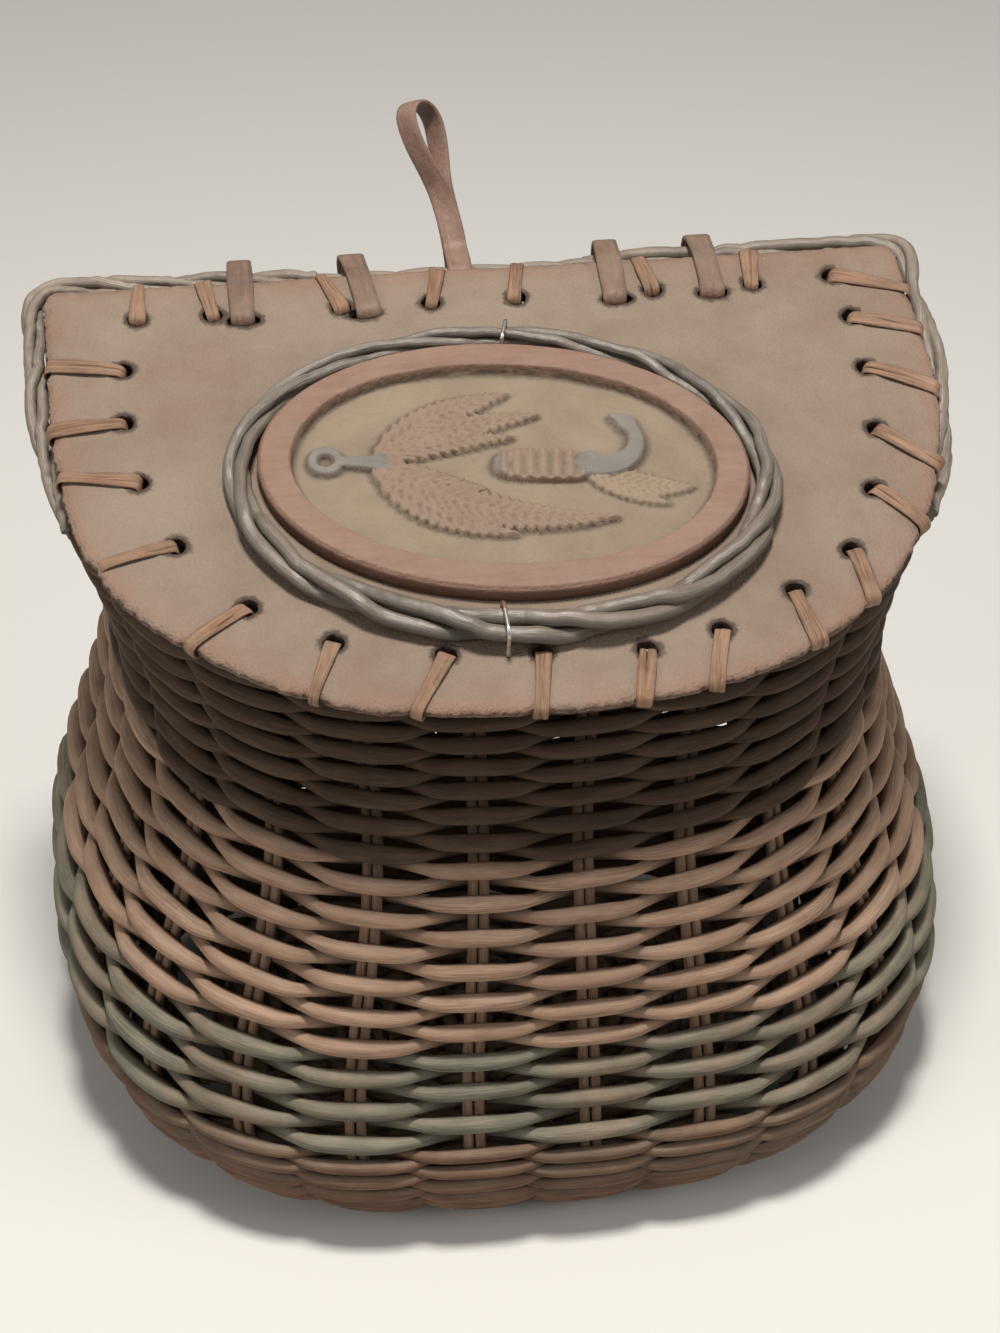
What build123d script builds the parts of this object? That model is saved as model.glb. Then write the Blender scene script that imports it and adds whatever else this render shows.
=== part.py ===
"""Wicker fishing creel with a laced leather lid, a carved medallion and leather strap hinges.

The frame has +X to the creel's right, +Y to its flat back and +Z up. The origin is the middle of
the foot, on the surface that the creel stands on. All sizes are in millimetres and degrees.
"""

import os
from math import atan, cos, hypot, radians, sin, tan

from build123d import *

# ---------------------------------------------------------------- driving dimensions
# Basket: each section is (height at the back, half width, depth, set back, side run, shoulder).
# The side run is how much of the depth each side takes, bowing in, before its shoulder arc.
hinge_height = 241.0  # foot to the rim hoop's axis at the back
lid_tilt = 17.0  # slope of the rim and the lid, down to the front
foot_section = (0.0, 106.0, 146.0, 8.0, 16.0, 78.0)
turn_section = (20.0, 126.0, 168.0, 3.0, 22.0, 88.0)
belly_section = (66.0, 142.0, 172.0, 0.0, 16.0, 98.0)
upper_section = (132.0, 123.5, 168.0, 0.0, 18.0, 94.0)
waist_section = (190.0, 117.0, 161.0, 1.0, 21.0, 90.0)
rim_half_width = 130.0
rim_depth = 165.0
rim_side_run = 27.0
rim_shoulder = 98.0
wall = 11.0  # stakes with a weaver on each side of them
rim_wall = 8.0  # the same wall drawn in under the rim hoop
back_corner = 24.0  # radius of the basket's two back corners
swell = 2.0  # how far sides and front bow out past the shoulder arc
base_thickness = 8.0
foot_top = 28.0  # heights at the back where one colour of rods gives way to the next
green_top = 82.0
brown_top = 168.0

# Rim hoop: the round rod that finishes the mouth and is the hinge's bar at the back.
rim_radius = 3.5
rim_seat = 2.0  # wall top below the hoop's axis

# Lid panel
panel_inset = 2.0  # rim's side to the panel's side
panel_overhang = 10.6  # panel past the rim at the front
panel_side_run = 14.0
panel_shoulder = 104.0
panel_corner = 4.0
panel_thickness = 3.5
rest_gap = 0.4  # lid stitches to rim hoop when the lid is shut
back_gap = 5.6  # hinge axis to the panel's back edge

# Lacing: flat cane stitches through punched holes and round the panel's edge
stitch_width = 4.5
stitch_thickness = 1.2
edge_slack = 0.2  # stitch to the panel's edge
margin_span = 20.0  # edge to the hole along the sides and the front
back_span = 14.0  # edge to the hole along the back
hole_radius = 3.0
back_stitches = (-102.0, -80.5, -45.0, -15.0, 10.0, 50.0, 80.0)
# places along the margin, from the right back corner round the front to the left back corner
right_stitches = (0.042, 0.078, 0.122, 0.178, 0.233, 0.289)
front_stitches = (0.34, 0.4, 0.449, 0.51, 0.57, 0.635, 0.704, 0.779)
left_stitches = (0.843, 0.89, 0.936)

# Hinge straps: leather strips closed round the rim hoop and through the panel
strap_places = (-71.0, -35.5, 40.0, 69.0)
strap_width = 7.5
strap_thickness = 1.6
strap_arch = (1.2, 1.0, 5.5)  # centre behind and above the hinge axis, inner radius
strap_slack = 0.35  # strap to the panel's faces where it turns in the slot
strap_span = 14.0  # panel's back edge to the strap's turn in the slot
slot_length = 9.6
slot_width = 4.4
window_clearance = 0.8

# Hanging loop: one leather strip folded round the rim hoop, with an eye at its top
loop_place = -4.5
loop_lean = 34.0  # backwards from upright, as it rests against a wall
loop_width = 7.0
loop_thickness = 1.6
loop_clearance = 0.4
loop_offset = 5.2  # stem behind the line from the hinge axis to the eye
loop_throat = 11.0  # hinge axis to where the two plies meet
loop_eye_foot = 24.0
loop_eye_top = 47.0
loop_eye_radius = 4.2
seam = 0.1  # half the gap that the folded plies close to

# Medallion: carved oval board with a raised rim, and a fly in relief on its floor
medallion_centre = (-2.5, -83.0)  # from the panel's back edge
medallion_turn = -7.0
medallion_half_length = 69.0
medallion_half_depth = 46.5
medallion_end = 35.0  # radius of the oval's ends
medallion_floor = 2.5
medallion_rise = 3.0
medallion_border = 9.5
medallion_bevel = 1.2
border_slope = 20.0  # of the border's inner side, in degrees
relief_rise = 1.6
# the fly's parts, from the medallion's middle
fly_eye = (-50.0, 0.0)
fly_eye_radius = 5.2
fly_neck = 4.0
neck_overlap = 1.5
hackle_root = (-37.0, 0.0)
tail_root = (22.0, -1.0)
# each feather as (root, tip, fullness): four hackles and the tail
feathers = (
    (hackle_root, (5.0, 26.0), 7.5),
    (hackle_root, (8.0, 10.0), 9.0),
    (hackle_root, (6.0, -22.0), 8.0),
    (hackle_root, (29.0, -16.0), 6.5),
    (tail_root, (53.0, -6.0), 4.5),
)
fly_body = (11.0, 1.0)
fly_body_half_length = 15.0
fly_body_half_depth = 6.0
hook_bend = ((24.0, 2.0), (37.0, 8.0), (31.0, 20.0))
hook_half_width = 2.2

# Wicker ring round the medallion, and the two staples that hold it
ring_centre = (-3.0, -86.5)
ring_half_length = 74.0
ring_half_depth = 56.0
ring_end = 47.0
ring_radius = 3.0
ring_flat = 0.3  # flattened where it lies on the panel
staple_wire = 1.2  # square wire
staple_slack = 0.15

# ---------------------------------------------------------------- planes and outlines
foot_depth = foot_section[2]
foot_set_back = foot_section[3]
back_y = foot_depth / 2 + foot_set_back  # flat back of the basket
hinge_y = back_y - rim_wall / 2
panel_half_width = rim_half_width - panel_inset
panel_depth = rim_depth - rim_wall / 2 - back_gap + panel_overhang
lid_lift = rim_radius + rest_gap + stitch_thickness  # hinge axis to the panel's underside
panel_top = lid_lift + panel_thickness
X_AXIS = (1, 0, 0)


def level(height):
    """The plane of one course of weaving: level at the foot and as steep as the lid at the rim."""
    slope = atan(tan(radians(lid_tilt)) * height / hinge_height)
    return Plane(origin=(0, hinge_y, height), x_dir=X_AXIS, z_dir=(0, -sin(slope), cos(slope)))


def open_outline(half_width, back, depth, side_run, shoulder, corner):
    """Draw a D without its straight back: corners, sides, shoulders and front as tangent arcs."""
    spring = depth - shoulder - side_run
    centre_x = half_width - shoulder - swell
    centre_y = side_run - swell
    side_radius = shoulder + swell / 2 + centre_y**2 / (2 * swell)
    front_radius = shoulder + swell / 2 + centre_x**2 / (2 * swell)
    side_reach = side_radius / (side_radius - shoulder)
    front_reach = front_radius / (front_radius - shoulder)
    spring_y = back - spring
    side_x = half_width - side_radius + side_reach * (centre_x - half_width + side_radius)
    side_y = spring_y - side_reach * centre_y
    front_x = front_reach * centre_x
    front_y = back - depth + front_radius - front_reach * (front_radius - shoulder - swell)
    right_corner = TangentArc(
        (half_width - corner, back), (half_width, back - corner), tangent=X_AXIS
    )
    right_side = Line(right_corner @ 1, (half_width, spring_y))
    right_bow = TangentArc(right_side @ 1, (side_x, side_y), tangent=right_side % 1)
    right_shoulder = TangentArc(right_bow @ 1, (front_x, front_y), tangent=right_bow % 1)
    front = TangentArc(right_shoulder @ 1, (-front_x, front_y), tangent=right_shoulder % 1)
    left_shoulder = TangentArc(front @ 1, (-side_x, side_y), tangent=front % 1)
    left_bow = TangentArc(left_shoulder @ 1, (-half_width, spring_y), tangent=left_shoulder % 1)
    left_side = Line(left_bow @ 1, (-half_width, back - corner))
    TangentArc(left_side @ 1, (corner - half_width, back), tangent=left_side % 1)


def outline(half_width, back, depth, side_run, shoulder, corner):
    """Draw the whole D."""
    open_outline(half_width, back, depth, side_run, shoulder, corner)
    Line((corner - half_width, back), (half_width - corner, back))


def laid(plane, draw, *sizes):
    """Draw a curve flat and lay it on a plane as one wire."""
    with BuildLine() as flat:
        draw(*sizes)
    return plane * flat.wire()


def basket_form(inset, rim_inset):
    """Loft the basket's form, drawn in by an inset that changes towards the rim."""
    rim_section = (hinge_height, rim_half_width, rim_depth, 0.0, rim_side_run, rim_shoulder)
    lower = (foot_section, turn_section, belly_section, upper_section, waist_section)
    with BuildPart() as form:
        for section in lower + (rim_section,):
            height, half_width, depth, set_back, side_run, shoulder = section
            draw_in = rim_inset if section is rim_section else inset
            with BuildSketch(level(height)):
                with BuildLine():
                    outline(
                        half_width - draw_in,
                        rim_wall / 2 - set_back - draw_in,
                        depth - 2 * draw_in,
                        side_run,
                        shoulder - draw_in,
                        back_corner - draw_in,
                    )
                make_face()
        loft()
    return form.part


def oval(half_length, half_depth, end):
    """Draw an oval of four tangent arcs."""
    flank = (half_length**2 + half_depth**2 - 2 * half_length * end) / (2 * (half_depth - end))
    reach = end / (flank - end)
    meet_x = (half_length - end) * (1 + reach)
    meet_y = (flank - half_depth) * reach
    top = ThreePointArc((-meet_x, meet_y), (0, half_depth), (meet_x, meet_y))
    right = ThreePointArc(top @ 1, (half_length, 0), (meet_x, -meet_y))
    bottom = ThreePointArc(right @ 1, (0, -half_depth), (-meet_x, -meet_y))
    ThreePointArc(bottom @ 1, (-half_length, 0), top @ 0)


def closed_strip(spots, thickness):
    """Draw a strip of leather pulled round some spots, each (x, y, radius), and joined."""
    for grown, mode in ((thickness, Mode.ADD), (0, Mode.SUBTRACT)):
        rounds = [Pos(x, y) * Edge.make_circle(radius + grown) for x, y, radius in spots]
        make_hull(rounds, mode=mode)


rim_plane = level(hinge_height)
panel_plane = rim_plane.offset(lid_lift)
panel_top_plane = rim_plane.offset(panel_top)


def turned_plane(centre, height, turn):
    """A plane parallel to the lid, turned about the lid's upward direction."""
    angle = radians(turn)
    return Plane(
        origin=rim_plane.from_local_coords((centre[0], centre[1] - back_gap, height)),
        x_dir=rim_plane.x_dir * cos(angle) + rim_plane.y_dir * sin(angle),
        z_dir=rim_plane.z_dir,
    )


def finish(part, name):
    """Label a finished piece and write it out."""
    part.label = name
    export_step(part, f"parts/{name}.step")


os.makedirs("parts", exist_ok=True)

# ---------------------------------------------------------------- basket
outside = basket_form(0.0, 0.0)
cavity = basket_form(wall, rim_wall)

with BuildPart() as woven_base:
    add(cavity)
    split(bisect_by=Plane.XY.offset(base_thickness), keep=Keep.BOTTOM)
finish(woven_base.part, "woven_base")

rim_axis = laid(
    rim_plane,
    outline,
    rim_half_width - rim_wall / 2,
    0,
    rim_depth - rim_wall,
    rim_side_run,
    rim_shoulder - rim_wall / 2,
    back_corner - rim_wall / 2,
)
with BuildPart() as rim_hoop:
    with BuildSketch(Plane(origin=rim_axis @ 0, z_dir=rim_axis % 0)):
        Circle(rim_radius)
    sweep(path=rim_axis)
finish(rim_hoop.part, "rim_hoop")

with BuildPart() as courses:
    add(outside)
    add(cavity, mode=Mode.SUBTRACT)
    split(bisect_by=rim_plane.offset(-rim_seat), keep=Keep.BOTTOM)
    add(rim_hoop.part, mode=Mode.SUBTRACT)
    # windows under the hoop's back, where the hinge straps and the hanging loop go round it
    arch_back, arch_up, arch_radius = strap_arch
    strap_reach = hypot(arch_back, arch_up) + arch_radius + strap_thickness
    back_face = Plane(origin=(0, hinge_y, hinge_height), x_dir=X_AXIS, z_dir=(0, -1, 0))
    with BuildSketch(back_face):
        for place in strap_places:
            with Locations((place, 0)):
                Rectangle(strap_width + 2 * window_clearance, 2 * (strap_reach + window_clearance))
        with Locations((loop_place, 0)):
            Rectangle(loop_width + 2 * window_clearance, 2 * (strap_reach + window_clearance))
    extrude(amount=wall, both=True, mode=Mode.SUBTRACT)

band_heights = (0.0, foot_top, green_top, brown_top, hinge_height)
band_names = ("foot_courses", "green_courses", "brown_courses", "neck_courses")
for bottom, top, name in zip(band_heights, band_heights[1:], band_names):
    with BuildPart() as band:
        add(courses.part)
        if bottom > 0:
            split(bisect_by=level(bottom), keep=Keep.TOP)
        if top < hinge_height:
            split(bisect_by=level(top), keep=Keep.BOTTOM)
    finish(band.part, name)

# ---------------------------------------------------------------- lid panel and its lacing
panel_sizes = (
    panel_half_width,
    -back_gap,
    panel_depth,
    panel_side_run,
    panel_shoulder,
    panel_corner,
)
margin = laid(panel_plane, open_outline, *panel_sizes)


def margin_plane(place):
    """The plane across the panel's edge at a place: local x inwards, local y up."""
    along = margin % place
    inwards = along.cross(rim_plane.z_dir)
    return Plane(origin=margin @ place, x_dir=inwards, z_dir=-along)


def back_plane(place):
    """The same across the panel's straight back edge."""
    origin = panel_plane.from_local_coords((place, -back_gap, 0))
    return Plane(origin=origin, x_dir=-panel_plane.y_dir, z_dir=(-1, 0, 0))


def lacing(planes, span, name):
    """Close one flat stitch on each plane, round the panel's edge and through its hole."""
    with BuildPart() as stitches:
        for plane in planes:
            with BuildSketch(plane):
                with Locations(((span - edge_slack) / 2, panel_thickness / 2)):
                    RectangleRounded(
                        span + edge_slack + 2 * stitch_thickness,
                        panel_thickness + 2 * stitch_thickness,
                        stitch_thickness,
                    )
                    Rectangle(span + edge_slack, panel_thickness, mode=Mode.SUBTRACT)
            extrude(amount=stitch_width / 2, both=True)
    finish(stitches.part, name)


lacing([back_plane(place) for place in back_stitches], back_span, "lacing_back")
lacing([margin_plane(place) for place in right_stitches], margin_span, "lacing_right")
lacing([margin_plane(place) for place in front_stitches], margin_span, "lacing_front")
lacing([margin_plane(place) for place in left_stitches], margin_span, "lacing_left")

turn_radius = panel_thickness / 2 + strap_slack
slot_y = -back_gap - strap_span - turn_radius - strap_thickness / 2

with BuildPart() as lid_panel:
    with BuildSketch(panel_plane):
        with BuildLine():
            outline(*panel_sizes)
        make_face()
        for place in back_stitches:
            with Locations((place, -back_gap - back_span - stitch_thickness / 2)):
                Circle(hole_radius, mode=Mode.SUBTRACT)
        for place in strap_places:
            with Locations((place, slot_y)):
                SlotOverall(slot_length, slot_width, mode=Mode.SUBTRACT)
    extrude(amount=panel_thickness)
    for place in right_stitches + front_stitches + left_stitches:
        across = margin_plane(place)
        hole = across.from_local_coords((margin_span + stitch_thickness / 2, 0, 0))
        with BuildSketch(Plane(origin=hole, z_dir=rim_plane.z_dir)):
            Circle(hole_radius)
        extrude(amount=panel_thickness, mode=Mode.SUBTRACT)
finish(lid_panel.part, "lid_panel")

# ---------------------------------------------------------------- hinge straps
panel_middle = lid_lift + panel_thickness / 2
for number, place in enumerate(strap_places, start=1):
    origin = rim_plane.from_local_coords((place, 0, 0))
    with BuildPart() as hinge_strap:
        with BuildSketch(Plane(origin=origin, x_dir=rim_plane.y_dir, z_dir=X_AXIS)):
            closed_strip(
                (
                    (arch_back, arch_up, arch_radius),
                    (-back_gap, panel_top, edge_slack),
                    (-back_gap - strap_span, panel_middle, turn_radius),
                ),
                strap_thickness,
            )
        extrude(amount=strap_width / 2, both=True)
    finish(hinge_strap.part, f"hinge_strap_{number}")

# ---------------------------------------------------------------- hanging loop
lean = radians(loop_lean)
loop_plane = Plane(
    origin=(loop_place, hinge_y, hinge_height), x_dir=(0, cos(lean), -sin(lean)), z_dir=X_AXIS
)
with BuildPart() as hanging_loop:
    with BuildSketch(loop_plane):
        closed_strip(
            ((0, 0, rim_radius + loop_clearance), (loop_offset, loop_throat, seam)),
            loop_thickness,
        )
    with BuildSketch(loop_plane):
        with Locations((loop_offset, (loop_throat + loop_eye_foot) / 2)):
            Rectangle(2 * (seam + loop_thickness), loop_eye_foot - loop_throat)
    with BuildSketch(loop_plane):
        closed_strip(
            ((loop_offset, loop_eye_foot, seam), (loop_offset, loop_eye_top, loop_eye_radius)),
            loop_thickness,
        )
    extrude(amount=loop_width / 2, both=True)
finish(hanging_loop.part, "hanging_loop")

# ---------------------------------------------------------------- medallion
medallion_plane = turned_plane(medallion_centre, panel_top, medallion_turn)
with BuildPart() as medallion:
    with BuildSketch(medallion_plane):
        with BuildLine():
            oval(medallion_half_length, medallion_half_depth, medallion_end)
        make_face()
    extrude(amount=medallion_floor + medallion_rise)
    upwards = Axis(medallion_plane.origin, medallion_plane.z_dir)
    chamfer(medallion.faces().sort_by(upwards)[-1].edges(), length=medallion_bevel)
    with BuildSketch(medallion_plane.offset(medallion_floor)):
        with BuildLine():
            oval(
                medallion_half_length - medallion_border,
                medallion_half_depth - medallion_border,
                medallion_end - medallion_border,
            )
        make_face()
    extrude(amount=medallion_rise, mode=Mode.SUBTRACT, taper=-border_slope)
    with BuildSketch(medallion_plane.offset(medallion_floor)):
        with Locations(fly_eye):
            Circle(fly_eye_radius)
            Circle(fly_eye_radius / 2, mode=Mode.SUBTRACT)
        neck_start = fly_eye[0] + fly_eye_radius - neck_overlap
        with Locations(((neck_start + hackle_root[0] + neck_overlap) / 2, hackle_root[1])):
            Rectangle(hackle_root[0] + neck_overlap - neck_start, fly_neck)
        for root, tip, fullness in feathers:
            with BuildLine():
                SagittaArc(root, tip, fullness)
                SagittaArc(tip, root, fullness)
            make_face()
        with Locations(fly_body):
            Ellipse(fly_body_half_length, fly_body_half_depth)
        with BuildLine(mode=Mode.PRIVATE) as bend:
            ThreePointArc(*hook_bend)
        trace(bend.line, line_width=2 * hook_half_width)
    extrude(amount=relief_rise)
finish(medallion.part, "medallion")

# ---------------------------------------------------------------- wicker ring and staples
ring_plane = turned_plane(ring_centre, panel_top + ring_radius - ring_flat, medallion_turn)
ring_axis = laid(ring_plane, oval, ring_half_length, ring_half_depth, ring_end)
with BuildPart() as wicker_ring:
    with BuildSketch(Plane(origin=ring_axis @ 0, z_dir=ring_axis % 0)):
        Circle(ring_radius)
    sweep(path=ring_axis)
    split(bisect_by=panel_top_plane, keep=Keep.TOP)
finish(wicker_ring.part, "wicker_ring")

leg_reach = ring_radius + staple_slack
with BuildPart() as staples:
    for side in (1, -1):
        middle = ring_plane.from_local_coords((0, side * ring_half_depth, 0))
        staple_plane = Plane(origin=middle, x_dir=ring_plane.y_dir, z_dir=ring_plane.x_dir)
        with BuildSketch(staple_plane):
            outer_height = 2 * ring_radius - ring_flat + staple_slack + staple_wire
            with Locations((0, ring_flat - ring_radius)):
                Rectangle(
                    2 * (leg_reach + staple_wire), outer_height, align=(Align.CENTER, Align.MIN)
                )
                Rectangle(
                    2 * leg_reach,
                    outer_height - staple_wire,
                    align=(Align.CENTER, Align.MIN),
                    mode=Mode.SUBTRACT,
                )
        extrude(amount=staple_wire / 2, both=True)
finish(staples.part, "staples")
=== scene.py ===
# %% [markdown]
# # A wicker fishing creel
# The creel is a pot-bellied basket with a flat back. Round rods are woven over upright pairs of
# rods called stakes, and a thick leather lid is laced and hinged on with leather straps.
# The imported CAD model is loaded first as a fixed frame, and each piece below is dressed round it.
# Lengths are in metres.

# %% Load the frame
from math import atan, cos, pi, radians, sin, tan

import bmesh
import bpy
import numpy as np
from mathutils import Matrix, Vector, geometry, noise


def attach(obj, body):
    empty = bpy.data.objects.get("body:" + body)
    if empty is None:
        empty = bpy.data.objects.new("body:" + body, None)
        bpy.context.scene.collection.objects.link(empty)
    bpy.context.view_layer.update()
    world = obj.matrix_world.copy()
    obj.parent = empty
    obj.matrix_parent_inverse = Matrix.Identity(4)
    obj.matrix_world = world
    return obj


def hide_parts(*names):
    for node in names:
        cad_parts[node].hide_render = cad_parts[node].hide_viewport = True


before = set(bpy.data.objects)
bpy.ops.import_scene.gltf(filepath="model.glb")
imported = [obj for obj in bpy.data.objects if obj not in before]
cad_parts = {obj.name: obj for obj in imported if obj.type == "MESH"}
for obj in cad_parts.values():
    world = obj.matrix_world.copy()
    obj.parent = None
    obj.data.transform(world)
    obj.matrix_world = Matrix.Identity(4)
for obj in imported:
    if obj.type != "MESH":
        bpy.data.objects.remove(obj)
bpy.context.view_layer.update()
MM = 0.001

# %% [markdown]
# ## Camera
# The photograph looks down on the lid from a little to the left. The camera is placed by its
# heading and its slope, and a long lens keeps the basket's sides from spreading.

# %% Camera
camera_place = Vector((-0.0874, -0.6316, 0.6009))
camera_slope = radians(35.3)
camera_heading = radians(7.7)
camera_roll = radians(0.2)
focal_pixels = 2600
image_width = 1000

camera_data = bpy.data.cameras.new("camera")
camera_data.sensor_fit = "HORIZONTAL"
camera_data.lens = camera_data.sensor_width * focal_pixels / image_width
camera = bpy.data.objects.new("camera", camera_data)
bpy.context.scene.collection.objects.link(camera)
ahead = Vector((
    sin(camera_heading) * cos(camera_slope),
    cos(camera_heading) * cos(camera_slope),
    -sin(camera_slope),
))
level_right = Vector((cos(camera_heading), -sin(camera_heading), 0))
level_up = level_right.cross(ahead)
right = level_right * cos(camera_roll) + level_up * sin(camera_roll)
up = level_up * cos(camera_roll) - level_right * sin(camera_roll)
turn = Matrix((right, up, -ahead)).transposed().to_4x4()
camera.matrix_world = Matrix.Translation(camera_place) @ turn
bpy.context.scene.camera = camera

# %% [markdown]
# ## Sizes shared with the frame
# The basket's form is a stack of D outlines, one for each height. Each course of weaving lies in
# a plane that starts level at the foot and ends as steep as the lid at the rim.

# %% Sizes of the basket and the lid
hinge_y = 77.0 * MM
hinge_height = 241.0 * MM
lid_tilt = radians(17)
lid_lift = 5.1 * MM
panel_thickness = 3.5 * MM
panel_top = lid_lift + panel_thickness
back_gap = 5.6 * MM
# each section: height at the back, half width, depth, set back, side run, shoulder
sections = (
    (0, 106, 146, 8, 16, 78),
    (20, 126, 168, 3, 22, 88),
    (66, 142, 172, 0, 16, 98),
    (132, 123.5, 168, 0, 18, 94),
    (190, 117, 161, 1, 21, 90),
    (241, 130, 165, 0, 27, 98),
)
back_corner = 24.0
side_swell = 2.0
rim_wall = 8.0
stakes_inset = 5.2
rim_inset = 4.0


def outline(half_width, back, depth, side_run, shoulder, corner, count):
    """Points at equal steps round a D, from the middle of its straight back by the right side."""
    run_x = half_width - shoulder - side_swell
    run_y = side_run - side_swell
    spring_y = back - (depth - shoulder - side_run)
    side_radius = shoulder + side_swell / 2 + run_y**2 / (2 * side_swell)
    front_radius = shoulder + side_swell / 2 + run_x**2 / (2 * side_swell)
    side_middle = np.array([half_width - side_radius, spring_y])
    front_middle = np.array([0, back - depth + front_radius])
    shoulder_middle = np.array([run_x, spring_y - run_y])
    side_way = np.arctan2(*(shoulder_middle - side_middle)[::-1])
    front_way = np.arctan2(*(shoulder_middle - front_middle)[::-1])
    corner_middle = np.array([half_width - corner, back - corner])
    arcs = (
        (corner_middle, corner, pi / 2, 0),
        (side_middle, side_radius, 0, side_way),
        (shoulder_middle, shoulder, side_way, front_way),
        (front_middle, front_radius, front_way, -pi / 2),
    )
    half = [np.array([[0, back]])]
    for middle, radius, start, end in arcs:
        angles = np.linspace(start, end, 90)[:, None]
        half.append(middle + radius * np.hstack([np.cos(angles), np.sin(angles)]))
    half = np.vstack(half)
    whole = np.vstack([half, half[-2::-1] * [-1, 1]])
    steps = np.hypot(*np.diff(whole, axis=0).T)
    reach = np.concatenate([[0], np.cumsum(steps)])
    places = np.linspace(0, reach[-1], count)
    return np.stack(
        [np.interp(places, reach, whole[:, 0]), np.interp(places, reach, whole[:, 1])], -1
    )


def on_level(flat, height, lift=0.0):
    """Lay flat points (x, y from the hinge line), in mm, on the course plane of a height."""
    slope = atan(tan(lid_tilt) * height / (hinge_height / MM))
    y = hinge_y / MM + flat[:, 1] * cos(slope) - lift * sin(slope)
    z = height + flat[:, 1] * sin(slope) + lift * cos(slope)
    return np.stack([flat[:, 0], y, z], -1) * MM


def smooth_rows(knots, rows, wanted):
    """Natural cubic spline through rows of numbers, read at the wanted places."""
    count = len(knots)
    gaps = np.diff(knots)
    system = np.eye(count)
    right_side = np.zeros_like(rows)
    for i in range(1, count - 1):
        system[i, i - 1 : i + 2] = gaps[i - 1], 2 * (gaps[i - 1] + gaps[i]), gaps[i]
        rise = (rows[i + 1] - rows[i]) / gaps[i] - (rows[i] - rows[i - 1]) / gaps[i - 1]
        right_side[i] = 6 * rise
    bends = np.linalg.solve(system, right_side.reshape(count, -1)).reshape(rows.shape)
    spans = np.clip(np.searchsorted(knots, wanted) - 1, 0, count - 2)
    result = []
    for place, i in zip(wanted, spans):
        before, after, gap = place - knots[i], knots[i + 1] - place, gaps[i]
        cubic = (bends[i] * after**3 + bends[i + 1] * before**3) / (6 * gap)
        first = (rows[i] / gap - bends[i] * gap / 6) * after
        second = (rows[i + 1] / gap - bends[i + 1] * gap / 6) * before
        result.append(cubic + first + second)
    return np.array(result)


def basket_surface(inset, top_inset, around, heights):
    """The basket's form as a grid of points, drawn in from its outside by an inset in mm."""
    rows = []
    for number, (height, half_width, depth, set_back, side_run, shoulder) in enumerate(sections):
        draw_in = top_inset if number == len(sections) - 1 else inset
        flat = outline(
            half_width - draw_in,
            rim_wall / 2 - set_back - draw_in,
            depth - 2 * draw_in,
            side_run,
            shoulder - draw_in,
            back_corner - draw_in,
            around,
        )
        rows.append(on_level(flat, height))
    knots = np.array([section[0] for section in sections], float)
    return smooth_rows(knots, np.array(rows), np.asarray(heights, float))


# %% [markdown]
# ## Helpers for node trees and meshes
# Both geometry trees and materials are built from the same few calls: one adds a node and fills
# its sockets, and one does arithmetic on sockets.

# %% Node helpers
Socket = bpy.types.NodeSocket


def add_node(tree, kind, inputs=None, **settings):
    """Add a node, choose its settings, then fill its inputs with values or links."""
    made = tree.nodes.new(kind)
    for name, value in settings.items():
        setattr(made, name, value)
    for name, value in (inputs or {}).items():
        socket = made.inputs[name]
        if isinstance(value, Socket):
            tree.links.new(value, socket)
        else:
            socket.default_value = value
    return made


def tree_of(values):
    """The node tree that the first socket among the values belongs to."""
    return next(value.id_data for value in values if isinstance(value, Socket))


def calc(operation, *values, clamp=False):
    """Arithmetic on numbers and sockets: the result as a socket."""
    inputs = dict(enumerate(values))
    made = add_node(
        tree_of(values), "ShaderNodeMath", inputs, operation=operation, use_clamp=clamp
    )
    return made.outputs[0]


def vector_calc(operation, *values):
    """The same for vectors; SCALE takes its number last."""
    if operation == "SCALE":
        inputs = {0: values[0], "Scale": values[1]}
    else:
        inputs = dict(enumerate(values))
    made = add_node(tree_of(values), "ShaderNodeVectorMath", inputs, operation=operation)
    return made.outputs[0]


def combine(x, y, z):
    """A vector from three numbers or sockets."""
    made = add_node(tree_of((x, y, z)), "ShaderNodeCombineXYZ", {0: x, 1: y, 2: z})
    return made.outputs[0]


# plain signs between sockets and numbers make Math nodes too
for sign, operation in (
    ("add", "ADD"),
    ("sub", "SUBTRACT"),
    ("mul", "MULTIPLY"),
    ("truediv", "DIVIDE"),
    ("mod", "MODULO"),
    ("pow", "POWER"),
):
    setattr(Socket, f"__{sign}__", lambda one, two, name=operation: calc(name, one, two))
    setattr(Socket, f"__r{sign}__", lambda one, two, name=operation: calc(name, two, one))


def new_tree(name, sockets):
    """A geometry tree with named inputs: (name, type, default) each."""
    tree = bpy.data.node_groups.new(name, "GeometryNodeTree")
    tree.interface.new_socket("Geometry", in_out="INPUT", socket_type="NodeSocketGeometry")
    tree.interface.new_socket("Geometry", in_out="OUTPUT", socket_type="NodeSocketGeometry")
    for socket_name, kind, default in sockets:
        socket = tree.interface.new_socket(
            socket_name, in_out="INPUT", socket_type="NodeSocket" + kind
        )
        if default is not None:
            socket.default_value = default
    return tree, tree.nodes.new("NodeGroupInput").outputs


def end_tree(tree, geometry_socket, material_socket):
    """Realize Instances and Set Material, and out."""
    real = add_node(tree, "GeometryNodeRealizeInstances", {"Geometry": geometry_socket})
    painted = add_node(
        tree, "GeometryNodeSetMaterial", {"Geometry": real.outputs[0], "Material": material_socket}
    )
    out = tree.nodes.new("NodeGroupOutput")
    tree.links.new(painted.outputs[0], out.inputs[0])


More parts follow.
